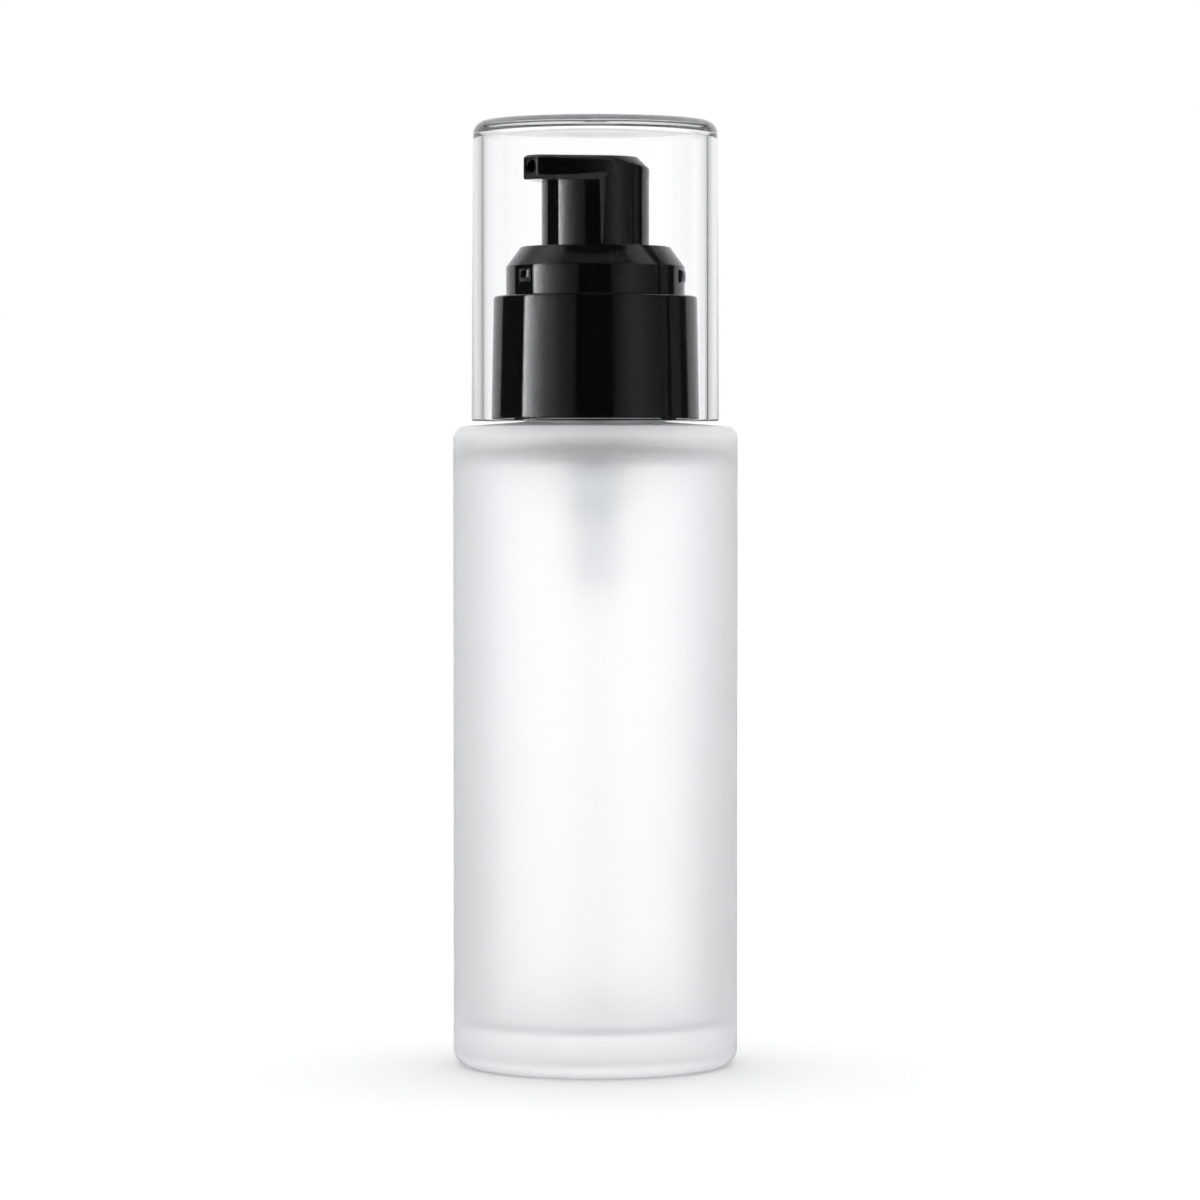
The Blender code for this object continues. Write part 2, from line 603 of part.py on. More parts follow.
def build_pin(parts, tools, plastic):
    shank_top = STEM_Z + PIN_SHANK_GRIP
    cone_foot = PIN_HEAD_TOP_Z - PIN_HEAD_HEIGHT / 2
    profile = [
        (0.0, shank_top),
        (PIN_SHANK_RADIUS, shank_top),
        (PIN_SHANK_RADIUS, PIN_HEAD_TOP_Z),
        (PIN_HEAD_RADIUS, cone_foot),
        (PIN_HEAD_RADIUS, PIN_HEAD_Z),
        (PIN_GUIDE_RADIUS, PIN_HEAD_Z),
        (PIN_GUIDE_RADIUS, PIN_HEAD_Z - PIN_GUIDE_LENGTH),
        (0.0, PIN_HEAD_Z - PIN_GUIDE_LENGTH),
    ]
    pin = turned("valve_pin", profile, parts, plastic, INNER_STEPS, closed=False)
    flat_z = PIN_HEAD_TOP_Z + PIN_FLAT_DEPTH
    size = (PIN_FLAT_DEPTH * 2, PIN_SHANK_RADIUS * 2, shank_top + OVERRUN - flat_z)
    middle = (PIN_SHANK_RADIUS, 0.0, flat_z + size[2] / 2)
    for i in range(2):
        cut(pin, block(f"pin_flat_{i}", size, middle, math.pi * i, tools))
    return pin


def build_spring(parts, steel):
    """One unbroken coil whose first and last curls lie closer together than the rest."""
    low = SPRING_Z + SPRING_WIRE_RADIUS
    rise = SPRING_LENGTH - 2 * SPRING_WIRE_RADIUS
    open_curls = SPRING_CURLS - 2 * SPRING_END_CURLS
    end_pitch = 2 * SPRING_WIRE_RADIUS + SPRING_END_GAP
    open_pitch = (rise - 2 * SPRING_END_CURLS * end_pitch) / open_curls
    points = []
    for i in range(SPRING_CURLS * SPRING_STEPS + 1):
        curl = i / SPRING_STEPS
        opened = min(max(curl - SPRING_END_CURLS, 0.0), open_curls)
        z = low + (curl - opened) * end_pitch + opened * open_pitch
        points.append(round_axis(SPRING_MEAN_RADIUS, curl, z))
    print_least_gap("return_spring", points, 2 * SPRING_WIRE_RADIUS)
    widths = [1.0] * len(points)
    return wire("return_spring", points, SPRING_WIRE_RADIUS, widths, SPRING_WIRE_FACETS, parts, steel)


def print_least_gap(name, points, thickness):
    """Prints the least clear distance between curls that lie beside each other."""
    half_curl = SPRING_STEPS // 2
    gaps = [math.dist(a, b) - thickness for i, a in enumerate(points) for b in points[i + half_curl :]]
    print(f"{name}: least gap between curls {min(gaps) * 1000:.2f} mm")


def build_ball(parts, glass):
    shape = bmesh.new()
    bmesh.ops.create_uvsphere(
        shape, u_segments=BALL_SEGMENTS, v_segments=BALL_SEGMENTS // 2, radius=BALL_RADIUS
    )
    bmesh.ops.translate(shape, vec=(0.0, 0.0, BALL_Z), verts=shape.verts)
    return from_shape("inlet_ball", shape, parts, glass)


def build_dip_tube(parts, tools, plastic):
    bore = DIP_TUBE_RADIUS - DIP_TUBE_WALL
    profile = [
        (bore, DIP_TUBE_TOP_Z),
        (DIP_TUBE_RADIUS, DIP_TUBE_TOP_Z),
        (DIP_TUBE_RADIUS, DIP_TUBE_Z),
        (bore, DIP_TUBE_Z),
    ]
    tube = turned("dip_tube", profile, parts, plastic, INNER_STEPS)
    side = DIP_TUBE_RADIUS * SLANT_CUTTER_SIDE_SHARE
    wedge = block("dip_tube_slant", (side, side, side), (0.0, 0.0, 0.0), 0.0, tools)
    wedge.rotation_euler.y = DIP_TUBE_CUT_ANGLE
    slant_middle_z = DIP_TUBE_Z + DIP_TUBE_RADIUS * math.tan(DIP_TUBE_CUT_ANGLE)
    wedge.location.x = -side / 2 * math.sin(DIP_TUBE_CUT_ANGLE)
    wedge.location.z = slant_middle_z - side / 2 * math.cos(DIP_TUBE_CUT_ANGLE)
    cut(tube, wedge)
    return tube


def head_loop(inset_of, height_of):
    """One level of the head from above: the round back, then straight sides to the spout's two corners.

    The inset and the height follow the turn from the back, +Y, which is half a turn at the spout.
    """
    radius = SKIRT_RADIUS + HEAD_PROUD
    half = SPOUT_WIDTH / 2
    tangent = math.atan2(half, SPOUT_REACH) + math.acos(radius / math.hypot(half, SPOUT_REACH))
    back = math.pi - tangent
    loop = []
    for i in range(HEAD_STEPS + 1):
        turn = back * (2 * i / HEAD_STEPS - 1)
        reach = radius - inset_of(turn)
        loop.append((-reach * math.sin(turn), reach * math.cos(turn), height_of(turn)))
    inset = inset_of(math.pi)
    for side in (-1, 1):
        loop.append((side * (half - inset), inset - SPOUT_REACH, height_of(math.pi)))
    return loop


def head_chamfer(turn):
    return HEAD_EDGE + (HEAD_BACK_CHAMFER - HEAD_EDGE) * (1 + math.cos(turn)) / 2


def build_head(name, tools):
    """The spouted head as a loft, with a top chamfer that is deepest at the back."""
    loops = [
        head_loop(lambda turn: HEAD_EDGE, lambda turn: HEAD_Z),
        head_loop(lambda turn: 0.0, lambda turn: HEAD_Z + HEAD_EDGE),
        head_loop(lambda turn: 0.0, lambda turn: ACTUATOR_TOP_Z - head_chamfer(turn)),
        head_loop(head_chamfer, lambda turn: ACTUATOR_TOP_Z),
    ]
    shape = bmesh.new()
    rows = [[shape.verts.new(point) for point in loop] for loop in loops]
    for lower, upper in zip(rows, rows[1:]):
        for i in range(len(lower)):
            j = (i + 1) % len(lower)
            shape.faces.new((lower[i], lower[j], upper[j], upper[i]))
    shape.faces.new(list(reversed(rows[0])))
    shape.faces.new(rows[-1])
    bmesh.ops.recalc_face_normals(shape, faces=shape.faces)
    return from_shape(name, shape, tools)


def build_actuator(parts, tools, plastic):
    inside_head_z = HEAD_Z + 2 * HEAD_EDGE
    profile = [
        (SKIRT_BORE_RADIUS, inside_head_z),
        (SKIRT_RADIUS, inside_head_z),
        (SKIRT_RADIUS, SKIRT_Z),
        (SKIRT_BORE_RADIUS, SKIRT_Z),
    ]
    actuator = turned("actuator", profile, parts, plastic)
    join(actuator, build_head("actuator_head", tools))
    join(actuator, post("actuator_boss", SOCKET_RADIUS + BOSS_WALL, BOSS_Z, inside_head_z, tools))
    cut(actuator, post("stem_socket", SOCKET_RADIUS, BOSS_Z - OVERRUN, SOCKET_TOP_Z, tools))
    passage_top = SPOUT_Z + SPOUT_BORE_RADIUS
    cut(actuator, post("rising_passage", PASSAGE_RADIUS, BOSS_Z, passage_top, tools, HOLE_STEPS))
    channel = post("spout_channel", SPOUT_BORE_RADIUS, 0.0, SPOUT_REACH + OVERRUN, tools, HOLE_STEPS)
    channel.rotation_euler.x = math.pi / 2
    channel.location.z = SPOUT_Z
    cut(actuator, channel)
    return actuator


def build_overcap(parts, plastic):
    corner_r = CAP_RADIUS - CAP_OUTER_ROUNDING
    inner_corner_r = CAP_BORE_RADIUS - CAP_INNER_ROUNDING
    bead_top = CAP_RIM_Z + CAP_BEAD_HEIGHT
    outside = [
        (0.0, CAP_TOP_Z),
        *arc(corner_r, CAP_TOP_Z - CAP_OUTER_ROUNDING, CAP_OUTER_ROUNDING, 90, 0),
        (CAP_RADIUS + CAP_DRAFT, CAP_RIM_Z + CAP_RIM_EDGE),
        (CAP_RADIUS + CAP_DRAFT - CAP_RIM_EDGE, CAP_RIM_Z),
    ]
    inside = [
        (CAP_BEAD_RADIUS, CAP_RIM_Z),
        (CAP_BEAD_RADIUS, bead_top),
        (CAP_BORE_RADIUS, bead_top + CAP_BEAD_BLEND),
        *arc(inner_corner_r, CAP_CEILING_Z - CAP_INNER_ROUNDING, CAP_INNER_ROUNDING, 0, 90),
        (0.0, CAP_CEILING_Z),
    ]
    return turned("overcap", outside + inside, parts, plastic, closed=False)


def smooth_all(parts):
    for piece in parts.objects:
        piece.data.shade_smooth()


def carry(parts, bodies):
    """One empty on the axis for each moving body, with that body's pieces under it."""
    for body, (parent, nodes) in bodies.items():
        holder = bpy.data.objects.new(f"{body}_body", None)
        holder.empty_display_size = BOTTLE_RADIUS
        parts.objects.link(holder)
        if parent:
            holder.parent = bpy.data.objects[f"{parent}_body"]
        for node in nodes:
            bpy.data.objects[node].parent = holder


def main():
    clear_scene()
    parts = new_collection("serum_pump_bottle")
    tools = new_collection("cutters")

    frosted = finish_of("frosted_glass", (0.93, 0.94, 0.95), 0.45, transmission=0.9, ior=1.52)
    clear = finish_of("clear_plastic", (0.98, 0.98, 0.98), 0.03, transmission=1.0, ior=1.57)
    black = finish_of("black_gloss_plastic", (0.010, 0.010, 0.011), 0.12)
    natural = finish_of("natural_plastic", (0.82, 0.83, 0.83), 0.40, transmission=0.35)
    white = finish_of("white_plastic", (0.80, 0.80, 0.79), 0.45)
    foam = finish_of("white_foam", (0.78, 0.78, 0.76), 0.85)
    steel = finish_of("spring_steel", (0.60, 0.60, 0.61), 0.25, metallic=1.0)
    ball_glass = finish_of("ball_glass", (0.75, 0.85, 0.80), 0.05, transmission=0.9)

    build_bottle(parts, tools, frosted)
    build_gasket(parts, foam)
    build_housing(parts, tools, natural)
    build_guide(parts, white)
    build_ball(parts, ball_glass)
    build_dip_tube(parts, tools, natural)
    build_spring(parts, steel)
    build_ring(parts, tools, black)
    build_closure(parts, tools, black)
    build_shell(parts, black)
    build_stem(parts, natural)
    build_pin(parts, tools, natural)
    build_piston(parts, white)
    build_actuator(parts, tools, black)
    build_overcap(parts, clear)
    smooth_all(parts)

    pump_nodes = ["neck_gasket", "pump_housing", "stem_guide", "dip_tube", "return_spring", "shoulder_ring"]
    carry(
        parts,
        {
            "bottle": (None, ["glass_bottle"]),
            "pump": ("bottle", pump_nodes),
            "closure": ("pump", ["screw_closure", "collar_shell"]),
            "plunger": ("pump", ["stem", "valve_pin"]),
            "piston": ("plunger", ["piston"]),
            "button": ("plunger", ["actuator"]),
            "ball": ("pump", ["inlet_ball"]),
            "cap": ("closure", ["overcap"]),
        },
    )


main()
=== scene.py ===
# Serum pump bottle: the looks, the light and the camera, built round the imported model.

import math

import bmesh
import bpy
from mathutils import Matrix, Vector


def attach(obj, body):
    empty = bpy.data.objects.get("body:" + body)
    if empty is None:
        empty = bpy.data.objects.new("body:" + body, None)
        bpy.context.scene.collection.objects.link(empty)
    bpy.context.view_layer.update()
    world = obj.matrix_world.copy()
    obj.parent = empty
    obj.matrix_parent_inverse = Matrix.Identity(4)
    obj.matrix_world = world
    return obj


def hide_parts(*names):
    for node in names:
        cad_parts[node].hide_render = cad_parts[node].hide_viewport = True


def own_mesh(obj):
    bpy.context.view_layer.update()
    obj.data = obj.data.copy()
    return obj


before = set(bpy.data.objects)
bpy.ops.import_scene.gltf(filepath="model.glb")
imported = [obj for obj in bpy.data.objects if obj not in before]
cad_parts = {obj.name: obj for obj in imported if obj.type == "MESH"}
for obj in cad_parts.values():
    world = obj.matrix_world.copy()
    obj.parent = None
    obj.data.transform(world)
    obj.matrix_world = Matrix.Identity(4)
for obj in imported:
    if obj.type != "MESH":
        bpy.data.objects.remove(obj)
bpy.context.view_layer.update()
mm = 0.001
onAxis = 1e-6  # millimetres; a point nearer the axis than this lies on it

scene = bpy.context.scene
pieces = bpy.data.collections.new("bottlePieces")
studio = bpy.data.collections.new("studioSet")
scene.collection.children.link(pieces)
scene.collection.children.link(studio)
print("frame loaded:", len(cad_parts), "nodes")


# Colour, nodes and materials

def hexColour(code):
    channels = [int(code[i : i + 2], 16) / 255 for i in (1, 3, 5)]
    return (*[c / 12.92 if c <= 0.04045 else ((c + 0.055) / 1.055) ** 2.4 for c in channels], 1.0)


def addNode(tree, kind, settings=None, links=None):
    node = tree.nodes.new(kind)
    for key, value in (settings or {}).items():
        if isinstance(key, int) or key in node.inputs:
            node.inputs[key].default_value = value
        else:
            setattr(node, key, value)
    for key, output in (links or {}).items():
        tree.links.new(output, node.inputs[key])
    return node


def newMaterial(name, values):
    material = bpy.data.materials.new(name)
    material.use_nodes = True
    tree = material.node_tree
    shader = tree.nodes["Principled BSDF"]
    for socket, value in values.items():
        shader.inputs[socket].default_value = value
    return material, tree, shader


def grainBump(tree, shader, grainSize, height, detail=2.0, stretch=(1, 1, 1), roughness=None):
    # noise whose grains are grainSize metres across, as a bump of that height in metres and, where
    # given, as roughness between two values
    coords = addNode(tree, "ShaderNodeTexCoord")
    mapping = addNode(tree, "ShaderNodeMapping", {"Scale": stretch}, {"Vector": coords.outputs["Object"]})
    noise = addNode(
        tree,
        "ShaderNodeTexNoise",
        {"Scale": 1 / grainSize, "Detail": detail, "Roughness": 0.5},
        {"Vector": mapping.outputs["Vector"]},
    )
    bump = addNode(
        tree, "ShaderNodeBump", {"Strength": 1.0, "Distance": height}, {"Height": noise.outputs["Fac"]}
    )
    tree.links.new(bump.outputs["Normal"], shader.inputs["Normal"])
    if roughness:
        low, high = roughness
        varied = addNode(
            tree, "ShaderNodeMapRange", {"To Min": low, "To Max": high}, {"Value": noise.outputs["Fac"]}
        )
        tree.links.new(varied.outputs["Result"], shader.inputs["Roughness"])


# Mesh helpers

def cornerArc(here, before, after, rounding, steps):
    # the arc that rounds the corner at here, where before and after point along its two sides
    half = before.angle(after) / 2
    centre = here + (before + after).normalized() * (rounding / math.sin(half))
    first = here + before * (rounding / math.tan(half)) - centre
    last = here + after * (rounding / math.tan(half)) - centre
    sweep = math.atan2(first.x * last.y - first.y * last.x, first.dot(last))
    turns = [sweep * k / steps for k in range(steps + 1)]
    return [
        (
            centre.x + first.x * math.cos(turn) - first.y * math.sin(turn),
            centre.y + first.x * math.sin(turn) + first.y * math.cos(turn),
        )
        for turn in turns
    ]


def roundCorners(corners, closed=False, steps=6):
    # corners are (radius, height) or (radius, height, rounding)
    points = []
    count = len(corners)
    for i, corner in enumerate(corners):
        here = Vector(corner[:2])
        rounding = corner[2] if len(corner) > 2 else 0
        if not rounding or (not closed and i in (0, count - 1)):
            points.append(tuple(here))
            continue
        before = (Vector(corners[i - 1][:2]) - here).normalized()
        after = (Vector(corners[(i + 1) % count][:2]) - here).normalized()
        points += cornerArc(here, before, after, rounding, steps)
    return points


def lathe(profile, steps, closed=False, bend=None, slotOf=None):
    # profile points are (radius, height) in millimetres; bend gives a point's new radius from its radius,
    # angle, height and row; slotOf gives the material slot of the faces between a row and the next
    shape = bmesh.new()
    rings = []
    for row, (radius, height) in enumerate(profile):
        if radius < onAxis:
            rings.append([shape.verts.new((0, 0, height * mm))])
            continue
        ring = []
        for i in range(steps):
            angle = math.tau * i / steps
            reach = (bend(radius, angle, height, row) if bend else radius) * mm
            ring.append(shape.verts.new((reach * math.cos(angle), reach * math.sin(angle), height * mm)))
        rings.append(ring)
    joined = list(zip(rings, rings[1:] + rings[:1])) if closed else list(zip(rings, rings[1:]))
    for row, (upper, lower) in enumerate(joined):
        for i in range(steps):
            j = (i + 1) % steps
            if len(upper) == 1 and len(lower) == 1:
                continue
            if len(upper) == 1:
                face = shape.faces.new((upper[0], lower[i], lower[j]))
            elif len(lower) == 1:
                face = shape.faces.new((upper[i], lower[0], upper[j]))
            else:
                face = shape.faces.new((upper[i], lower[i], lower[j], upper[j]))
            if slotOf:
                face.material_index = slotOf(row)
    bmesh.ops.recalc_face_normals(shape, faces=shape.faces)
    return shape


def meshPiece(name, shape, materials, sharpAngle=35, collection=None):
    mesh = bpy.data.meshes.new(name)
    shape.to_mesh(mesh)
    shape.free()
    mesh.shade_smooth()
    mesh.set_sharp_from_angle(angle=math.radians(sharpAngle))
    for material in materials:
        mesh.materials.append(material)
    piece = bpy.data.objects.new(name, mesh)
    (collection or pieces).objects.link(piece)
    return piece


def settle(piece, body, slotName, *nodes):
    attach(piece, body)
    if nodes:
        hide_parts(*nodes)


def cutOrJoin(piece, tools, sharpAngle=28, sliver=0.001 * mm):
    # tools are (object, "UNION" or "DIFFERENCE"); the result becomes the piece's own mesh
    for tool, operation in tools:
        boolean = piece.modifiers.new(operation, "BOOLEAN")
        boolean.operation = operation
        boolean.solver = "EXACT"
        boolean.object = tool
    bpy.context.view_layer.update()
    graph = bpy.context.evaluated_depsgraph_get()
    made = bpy.data.meshes.new_from_object(piece.evaluated_get(graph))
    piece.modifiers.clear()
    # slivers along the cuts are merged away
    shape = bmesh.new()
    shape.from_mesh(made)
    bmesh.ops.remove_doubles(shape, verts=shape.verts, dist=sliver)
    bmesh.ops.dissolve_degenerate(shape, edges=shape.edges, dist=sliver)
    shape.to_mesh(made)
    shape.free()
    piece.data = made
    for tool, _ in tools:
        bpy.data.objects.remove(tool, do_unlink=True)
    made.set_sharp_from_angle(angle=math.radians(sharpAngle))


def radialBlock(name, angle, rows):
    # rows are (distance from the axis, half width, foot, top) in millimetres, from the inside out
    shape = bmesh.new()
    rings = []
    for reach, half, low, high in rows:
        corners = [(-half, low), (half, low), (half, high), (-half, high)]
        rings.append(
            [
                shape.verts.new(
                    (
                        (reach * math.cos(angle) - side * math.sin(angle)) * mm,
                        (reach * math.sin(angle) + side * math.cos(angle)) * mm,
                        height * mm,
                    )
                )
                for side, height in corners
            ]
        )
    for lower, upper in zip(rings, rings[1:]):
        for i in range(4):
            j = (i + 1) % 4
            shape.faces.new((lower[i], lower[j], upper[j], upper[i]))
    shape.faces.new(list(reversed(rings[0])))
    shape.faces.new(rings[-1])
    bmesh.ops.recalc_face_normals(shape, faces=shape.faces)
    return meshPiece(name, shape, [])


def blocksRound(name, firstAngle, count, rows):
    # the same block at equal angles round the axis, to be joined on
    angles = [math.radians(firstAngle + 360 * i / count) for i in range(count)]
    return [(radialBlock(name, angle, rows), "UNION") for angle in angles]


# Camera: 150 mm lens, from 48 degrees to the right of the spout's side and a little above the middle

cameraValues = {
    "azimuth": 48.0,  # degrees
    "distance": 651.4,  # millimetres, as are the next two
    "height": 81.4,
    "sideways": 0.6,
    "lens": 150.15,
    "sensor": 36,
    "tilt": 1.84,  # degrees downwards
    "nearest": 0.01,  # metres
    "farthest": 50,
}


def addCamera(v):
    turn = math.radians(v["azimuth"])
    back = Vector((math.sin(turn), -math.cos(turn), 0))
    right = Vector((math.cos(turn), math.sin(turn), 0))
    data = bpy.data.cameras.new("photoCamera")
    data.lens = v["lens"]
    data.sensor_width = v["sensor"]
    data.clip_start = v["nearest"]
    data.clip_end = v["farthest"]
    camera = bpy.data.objects.new("photoCamera", data)
    level = Vector((0, 0, v["height"] * mm))
    camera.location = (back * v["distance"] + right * v["sideways"]) * mm + level
    camera.rotation_euler = (math.radians(90 - v["tilt"]), 0, turn)
    studio.objects.link(camera)
    scene.camera = camera


addCamera(cameraValues)
print("camera set")


# Studio: a white tent with a soft edge light on the left and dark gaps between its panels

studioValues = {
    # brightness at eye level by degrees round from the camera, to its right, white being 1
    "eyeLevel": [
        (-180, 1.0), (-138, 0.9), (-125, 0.85), (-121, 0.03), (-84.8, 0.06), (-83.6, 8.0), (-81.6, 11.0),
        (-79, 8.0), (-72, 4.5), (-64, 2.2), (-56, 1.2), (-40, 0.45), (-32, 0.3), (-23, 0.2), (-20, 0.03),
        (18, 0.03), (22, 0.18), (32, 0.35), (42, 0.5), (52, 0.48), (62, 0.33), (75, 0.22), (84, 0.22),
        (86, 0.05), (88, 0.05), (91, 0.24), (103, 0.18), (107, 0.04), (116, 0.04), (121, 0.85),
        (155, 0.95), (180, 1.0),
    ],
    "overhead": [
        (-180, 1.0), (-151, 1.2), (-134, 0.6), (-126, 0.5), (-107, 0.85), (-84, 0.6), (-76, 0.04),
        (76, 0.04), (84, 0.6), (108, 0.9), (112, 0.04), (120, 0.04), (124, 0.4), (151, 1.1), (180, 1.0),
    ],
    "overheadFrom": 26,  # degrees of elevation where the overhead panels begin
    "overheadFull": 36,
    "rampTop": 12.0,  # no brightness in these lists is above this
    # what frosted glass and matt surfaces gather
    "throughGlass": [
        (-180, 1.24), (-145, 1.24), (-115, 1.3), (-60, 1.25), (0, 1.08), (60, 1.25), (115, 1.3),
        (145, 1.24), (180, 1.24),
    ],
    # what is mirrored in the polished clear walls, and then what is seen straight through them
    "clearWall": [
        (-180, 1.0), (-165, 0.95), (-155, 0.75), (-148, 0.75), (-141, 0.4), (-134, 0.15), (-128, 0.2),
        (-118, 0.03), (118, 0.03), (128, 0.35), (132, 0.35), (133.5, 0.02), (139.5, 0.02), (142, 0.6),
        (150, 0.85), (165, 1.0), (180, 1.0),
    ],
    "throughClear": [
        (-180, 1.0), (-174, 1.02), (-165, 1.12), (-150, 1.15), (150, 1.12), (160, 1.12), (163, 0.95),
        (166, 1.12), (174, 1.02), (180, 1.0),
    ],
    "clearOverhead": 1.1,  # what the polished clear edges find above them
    "clearOverheadFrom": 18,
    "clearOverheadFull": 42,
    "pastWall": 2.5,  # a mirrored ray that passed more surfaces than this met the pump under the cap
    "capOnly": 4.5,  # one that passed fewer surfaces than this went through nothing but the cap
    "sideTint": [
        (-180, "#FFFFFF"), (-145, "#FFFFFF"), (-110, "#F3F6FF"), (110, "#F3F6FF"), (145, "#FFFFFF"),
        (180, "#FFFFFF"),
    ],
    "floorColour": "#DBDBDB",
    "floorGlow": 0.21,
    # the painted shadow on the floor: how far it reaches, and how far its direction leans from straight
    # above
    "shadowReach": 42,  # millimetres
    "paintedShadowLean": 65,  # degrees from straight above
    "floorRadius": 1500,
    "floorSteps": 96,
}


def ringRamp(tree, turnShare, stops, top):
    # stops are (degrees, brightness); the ramp holds brightness as a share of top
    ramp = addNode(tree, "ShaderNodeValToRGB", {}, {"Fac": turnShare})
    elements = ramp.color_ramp.elements
    while len(elements) < len(stops):
        elements.new(0.5)  # put in its place below
    for element, (degrees, brightness) in zip(elements, stops):
        element.position = (degrees + 180) / 360
        element.color = (brightness / top, brightness / top, brightness / top, 1)
    scaled = addNode(
        tree, "ShaderNodeMath", {"operation": "MULTIPLY", 1: top}, {0: ramp.outputs["Color"]}
    )
    return scaled.outputs["Value"]


def addStudio(v):
    world = bpy.data.worlds.new("whiteTent")
    scene.world = world
    world.use_nodes = True
    tree = world.node_tree
    tree.nodes.clear()
    coords = addNode(tree, "ShaderNodeTexCoord")
    # turned so that +X points at the camera's side and +Y to the right of the picture
    turned = addNode(
        tree,
        "ShaderNodeVectorRotate",
        {"rotation_type": "Z_AXIS", "Angle": math.radians(90 - cameraValues["azimuth"])},
        {"Vector": coords.outputs["Generated"]},
    )
    parts = addNode(tree, "ShaderNodeSeparateXYZ", {}, {"Vector": turned.outputs["Vector"]})
    around = addNode(
        tree, "ShaderNodeMath", {"operation": "ARCTAN2"}, {0: parts.outputs["Y"], 1: parts.outputs["X"]}
    )
    share = addNode(
        tree,
        "ShaderNodeMapRange",
        {"From Min": -math.pi, "From Max": math.pi},
        {"Value": around.outputs["Value"]},
    )
    eyeLevel, overhead, through, wall, clear = [
        ringRamp(tree, share.outputs["Result"], v[name], v["rampTop"])
        for name in ("eyeLevel", "overhead", "throughGlass", "clearWall", "throughClear")
    ]
    # how far a ray has risen from eye level to the light above
    rise, clearRise = [
        addNode(
            tree,
            "ShaderNodeMapRange",
            {
                "interpolation_type": "SMOOTHSTEP",
                "From Min": math.sin(math.radians(v[low])),
                "From Max": math.sin(math.radians(v[high])),
            },
            {"Value": parts.outputs["Z"]},
        )
        for low, high in (("overheadFrom", "overheadFull"), ("clearOverheadFrom", "clearOverheadFull"))
    ]
    mirrored = addNode(
        tree,
        "ShaderNodeMix",
        {"data_type": "FLOAT"},
        {0: rise.outputs["Result"], 2: eyeLevel, 3: overhead},
    )
    # black gloss, bare or under the cap, mirrors the tent's panels and gaps; the polished clear cap shows
    # a plainer ring of its own; frosted glass and matt surfaces gather a plain bright one
    path = addNode(tree, "ShaderNodeLightPath")
    polished = path.outputs["Is Singular Ray"]
    halfway = 0.5  # between no and yes, or between none and one
    glossy, behindWall, capOnly, dull = [
        addNode(tree, "ShaderNodeMath", {"operation": operation, 1: limit}, {0: output}).outputs[0]
        for operation, output, limit in (
            ("GREATER_THAN", path.outputs["Glossy Depth"], halfway),
            ("GREATER_THAN", path.outputs["Transmission Depth"], v["pastWall"]),
            ("LESS_THAN", path.outputs["Transmission Depth"], v["capOnly"]),
            ("LESS_THAN", polished, halfway),
        )
    ]
    bare = addNode(
        tree, "ShaderNodeMath", {"operation": "MULTIPLY"}, {0: path.outputs["Is Reflection Ray"], 1: dull}
    )
    covered = addNode(tree, "ShaderNodeMath", {"operation": "MULTIPLY"}, {0: polished, 1: behindWall})
    either = addNode(
        tree, "ShaderNodeMath", {"operation": "MAXIMUM"}, {0: bare.outputs[0], 1: covered.outputs[0]}
    )
    panelsShow = addNode(
        tree, "ShaderNodeMath", {"operation": "MULTIPLY"}, {0: either.outputs[0], 1: glossy}
    )
    clearAbove = addNode(
        tree, "ShaderNodeMath", {"operation": "MULTIPLY"}, {0: clearRise.outputs["Result"], 1: capOnly}
    )
    inClear = addNode(tree, "ShaderNodeMix", {"data_type": "FLOAT"}, {0: glossy, 2: clear, 3: wall})
    inClear = addNode(
        tree,
        "ShaderNodeMix",
        {"data_type": "FLOAT", 3: v["clearOverhead"]},
        {0: clearAbove.outputs[0], 2: inClear.outputs[0]},
    )
    plain = addNode(
        tree, "ShaderNodeMix", {"data_type": "FLOAT"}, {0: polished, 2: through, 3: inClear.outputs[0]}
    )
    byGloss = addNode(
        tree,
        "ShaderNodeMix",
        {"data_type": "FLOAT"},
        {0: panelsShow.outputs[0], 2: plain.outputs[0], 3: mirrored.outputs[0]},
    )
    seen = addNode(
        tree,
        "ShaderNodeMix",
        {"data_type": "FLOAT", 3: 1.0},
        {0: path.outputs["Is Camera Ray"], 2: byGloss.outputs[0]},
    )
    tint = addNode(tree, "ShaderNodeValToRGB", {}, {"Fac": share.outputs["Result"]})
    while len(tint.color_ramp.elements) < len(v["sideTint"]):
        tint.color_ramp.elements.new(0.5)
    for element, (degrees, code) in zip(tint.color_ramp.elements, v["sideTint"]):
        element.position = (degrees + 180) / 360
        element.color = hexColour(code)
    tinted = addNode(
        tree,
        "ShaderNodeMath",
        {"operation": "MULTIPLY"},
        {0: path.outputs["Is Transmission Ray"], 1: dull},
    )
    colour = addNode(
        tree,
        "ShaderNodeMix",
        {"data_type": "RGBA", 6: (1, 1, 1, 1)},
        {0: tinted.outputs[0], 7: tint.outputs["Color"]},
    )
    background = addNode(
        tree, "ShaderNodeBackground", {}, {"Color": colour.outputs[2], "Strength": seen.outputs[0]}
    )
    addNode(tree, "ShaderNodeOutputWorld", {}, {"Surface": background.outputs["Background"]})

    # white seamless floor: matt, and lifted for the camera and through glass to meet the backdrop
    floorPaper = bpy.data.materials.new("whiteSeamlessPaper")
    floorPaper.use_nodes = True
    tree = floorPaper.node_tree
    tree.nodes.clear()
    path = addNode(tree, "ShaderNodeLightPath")
    matt = addNode(tree, "ShaderNodeBsdfDiffuse", {"Color": hexColour(v["floorColour"])})
    looks = addNode(
        tree,
        "ShaderNodeMath",
        {"operation": "MAXIMUM"},
        {0: path.outputs["Is Camera Ray"], 1: path.outputs["Is Transmission Ray"]},
    )
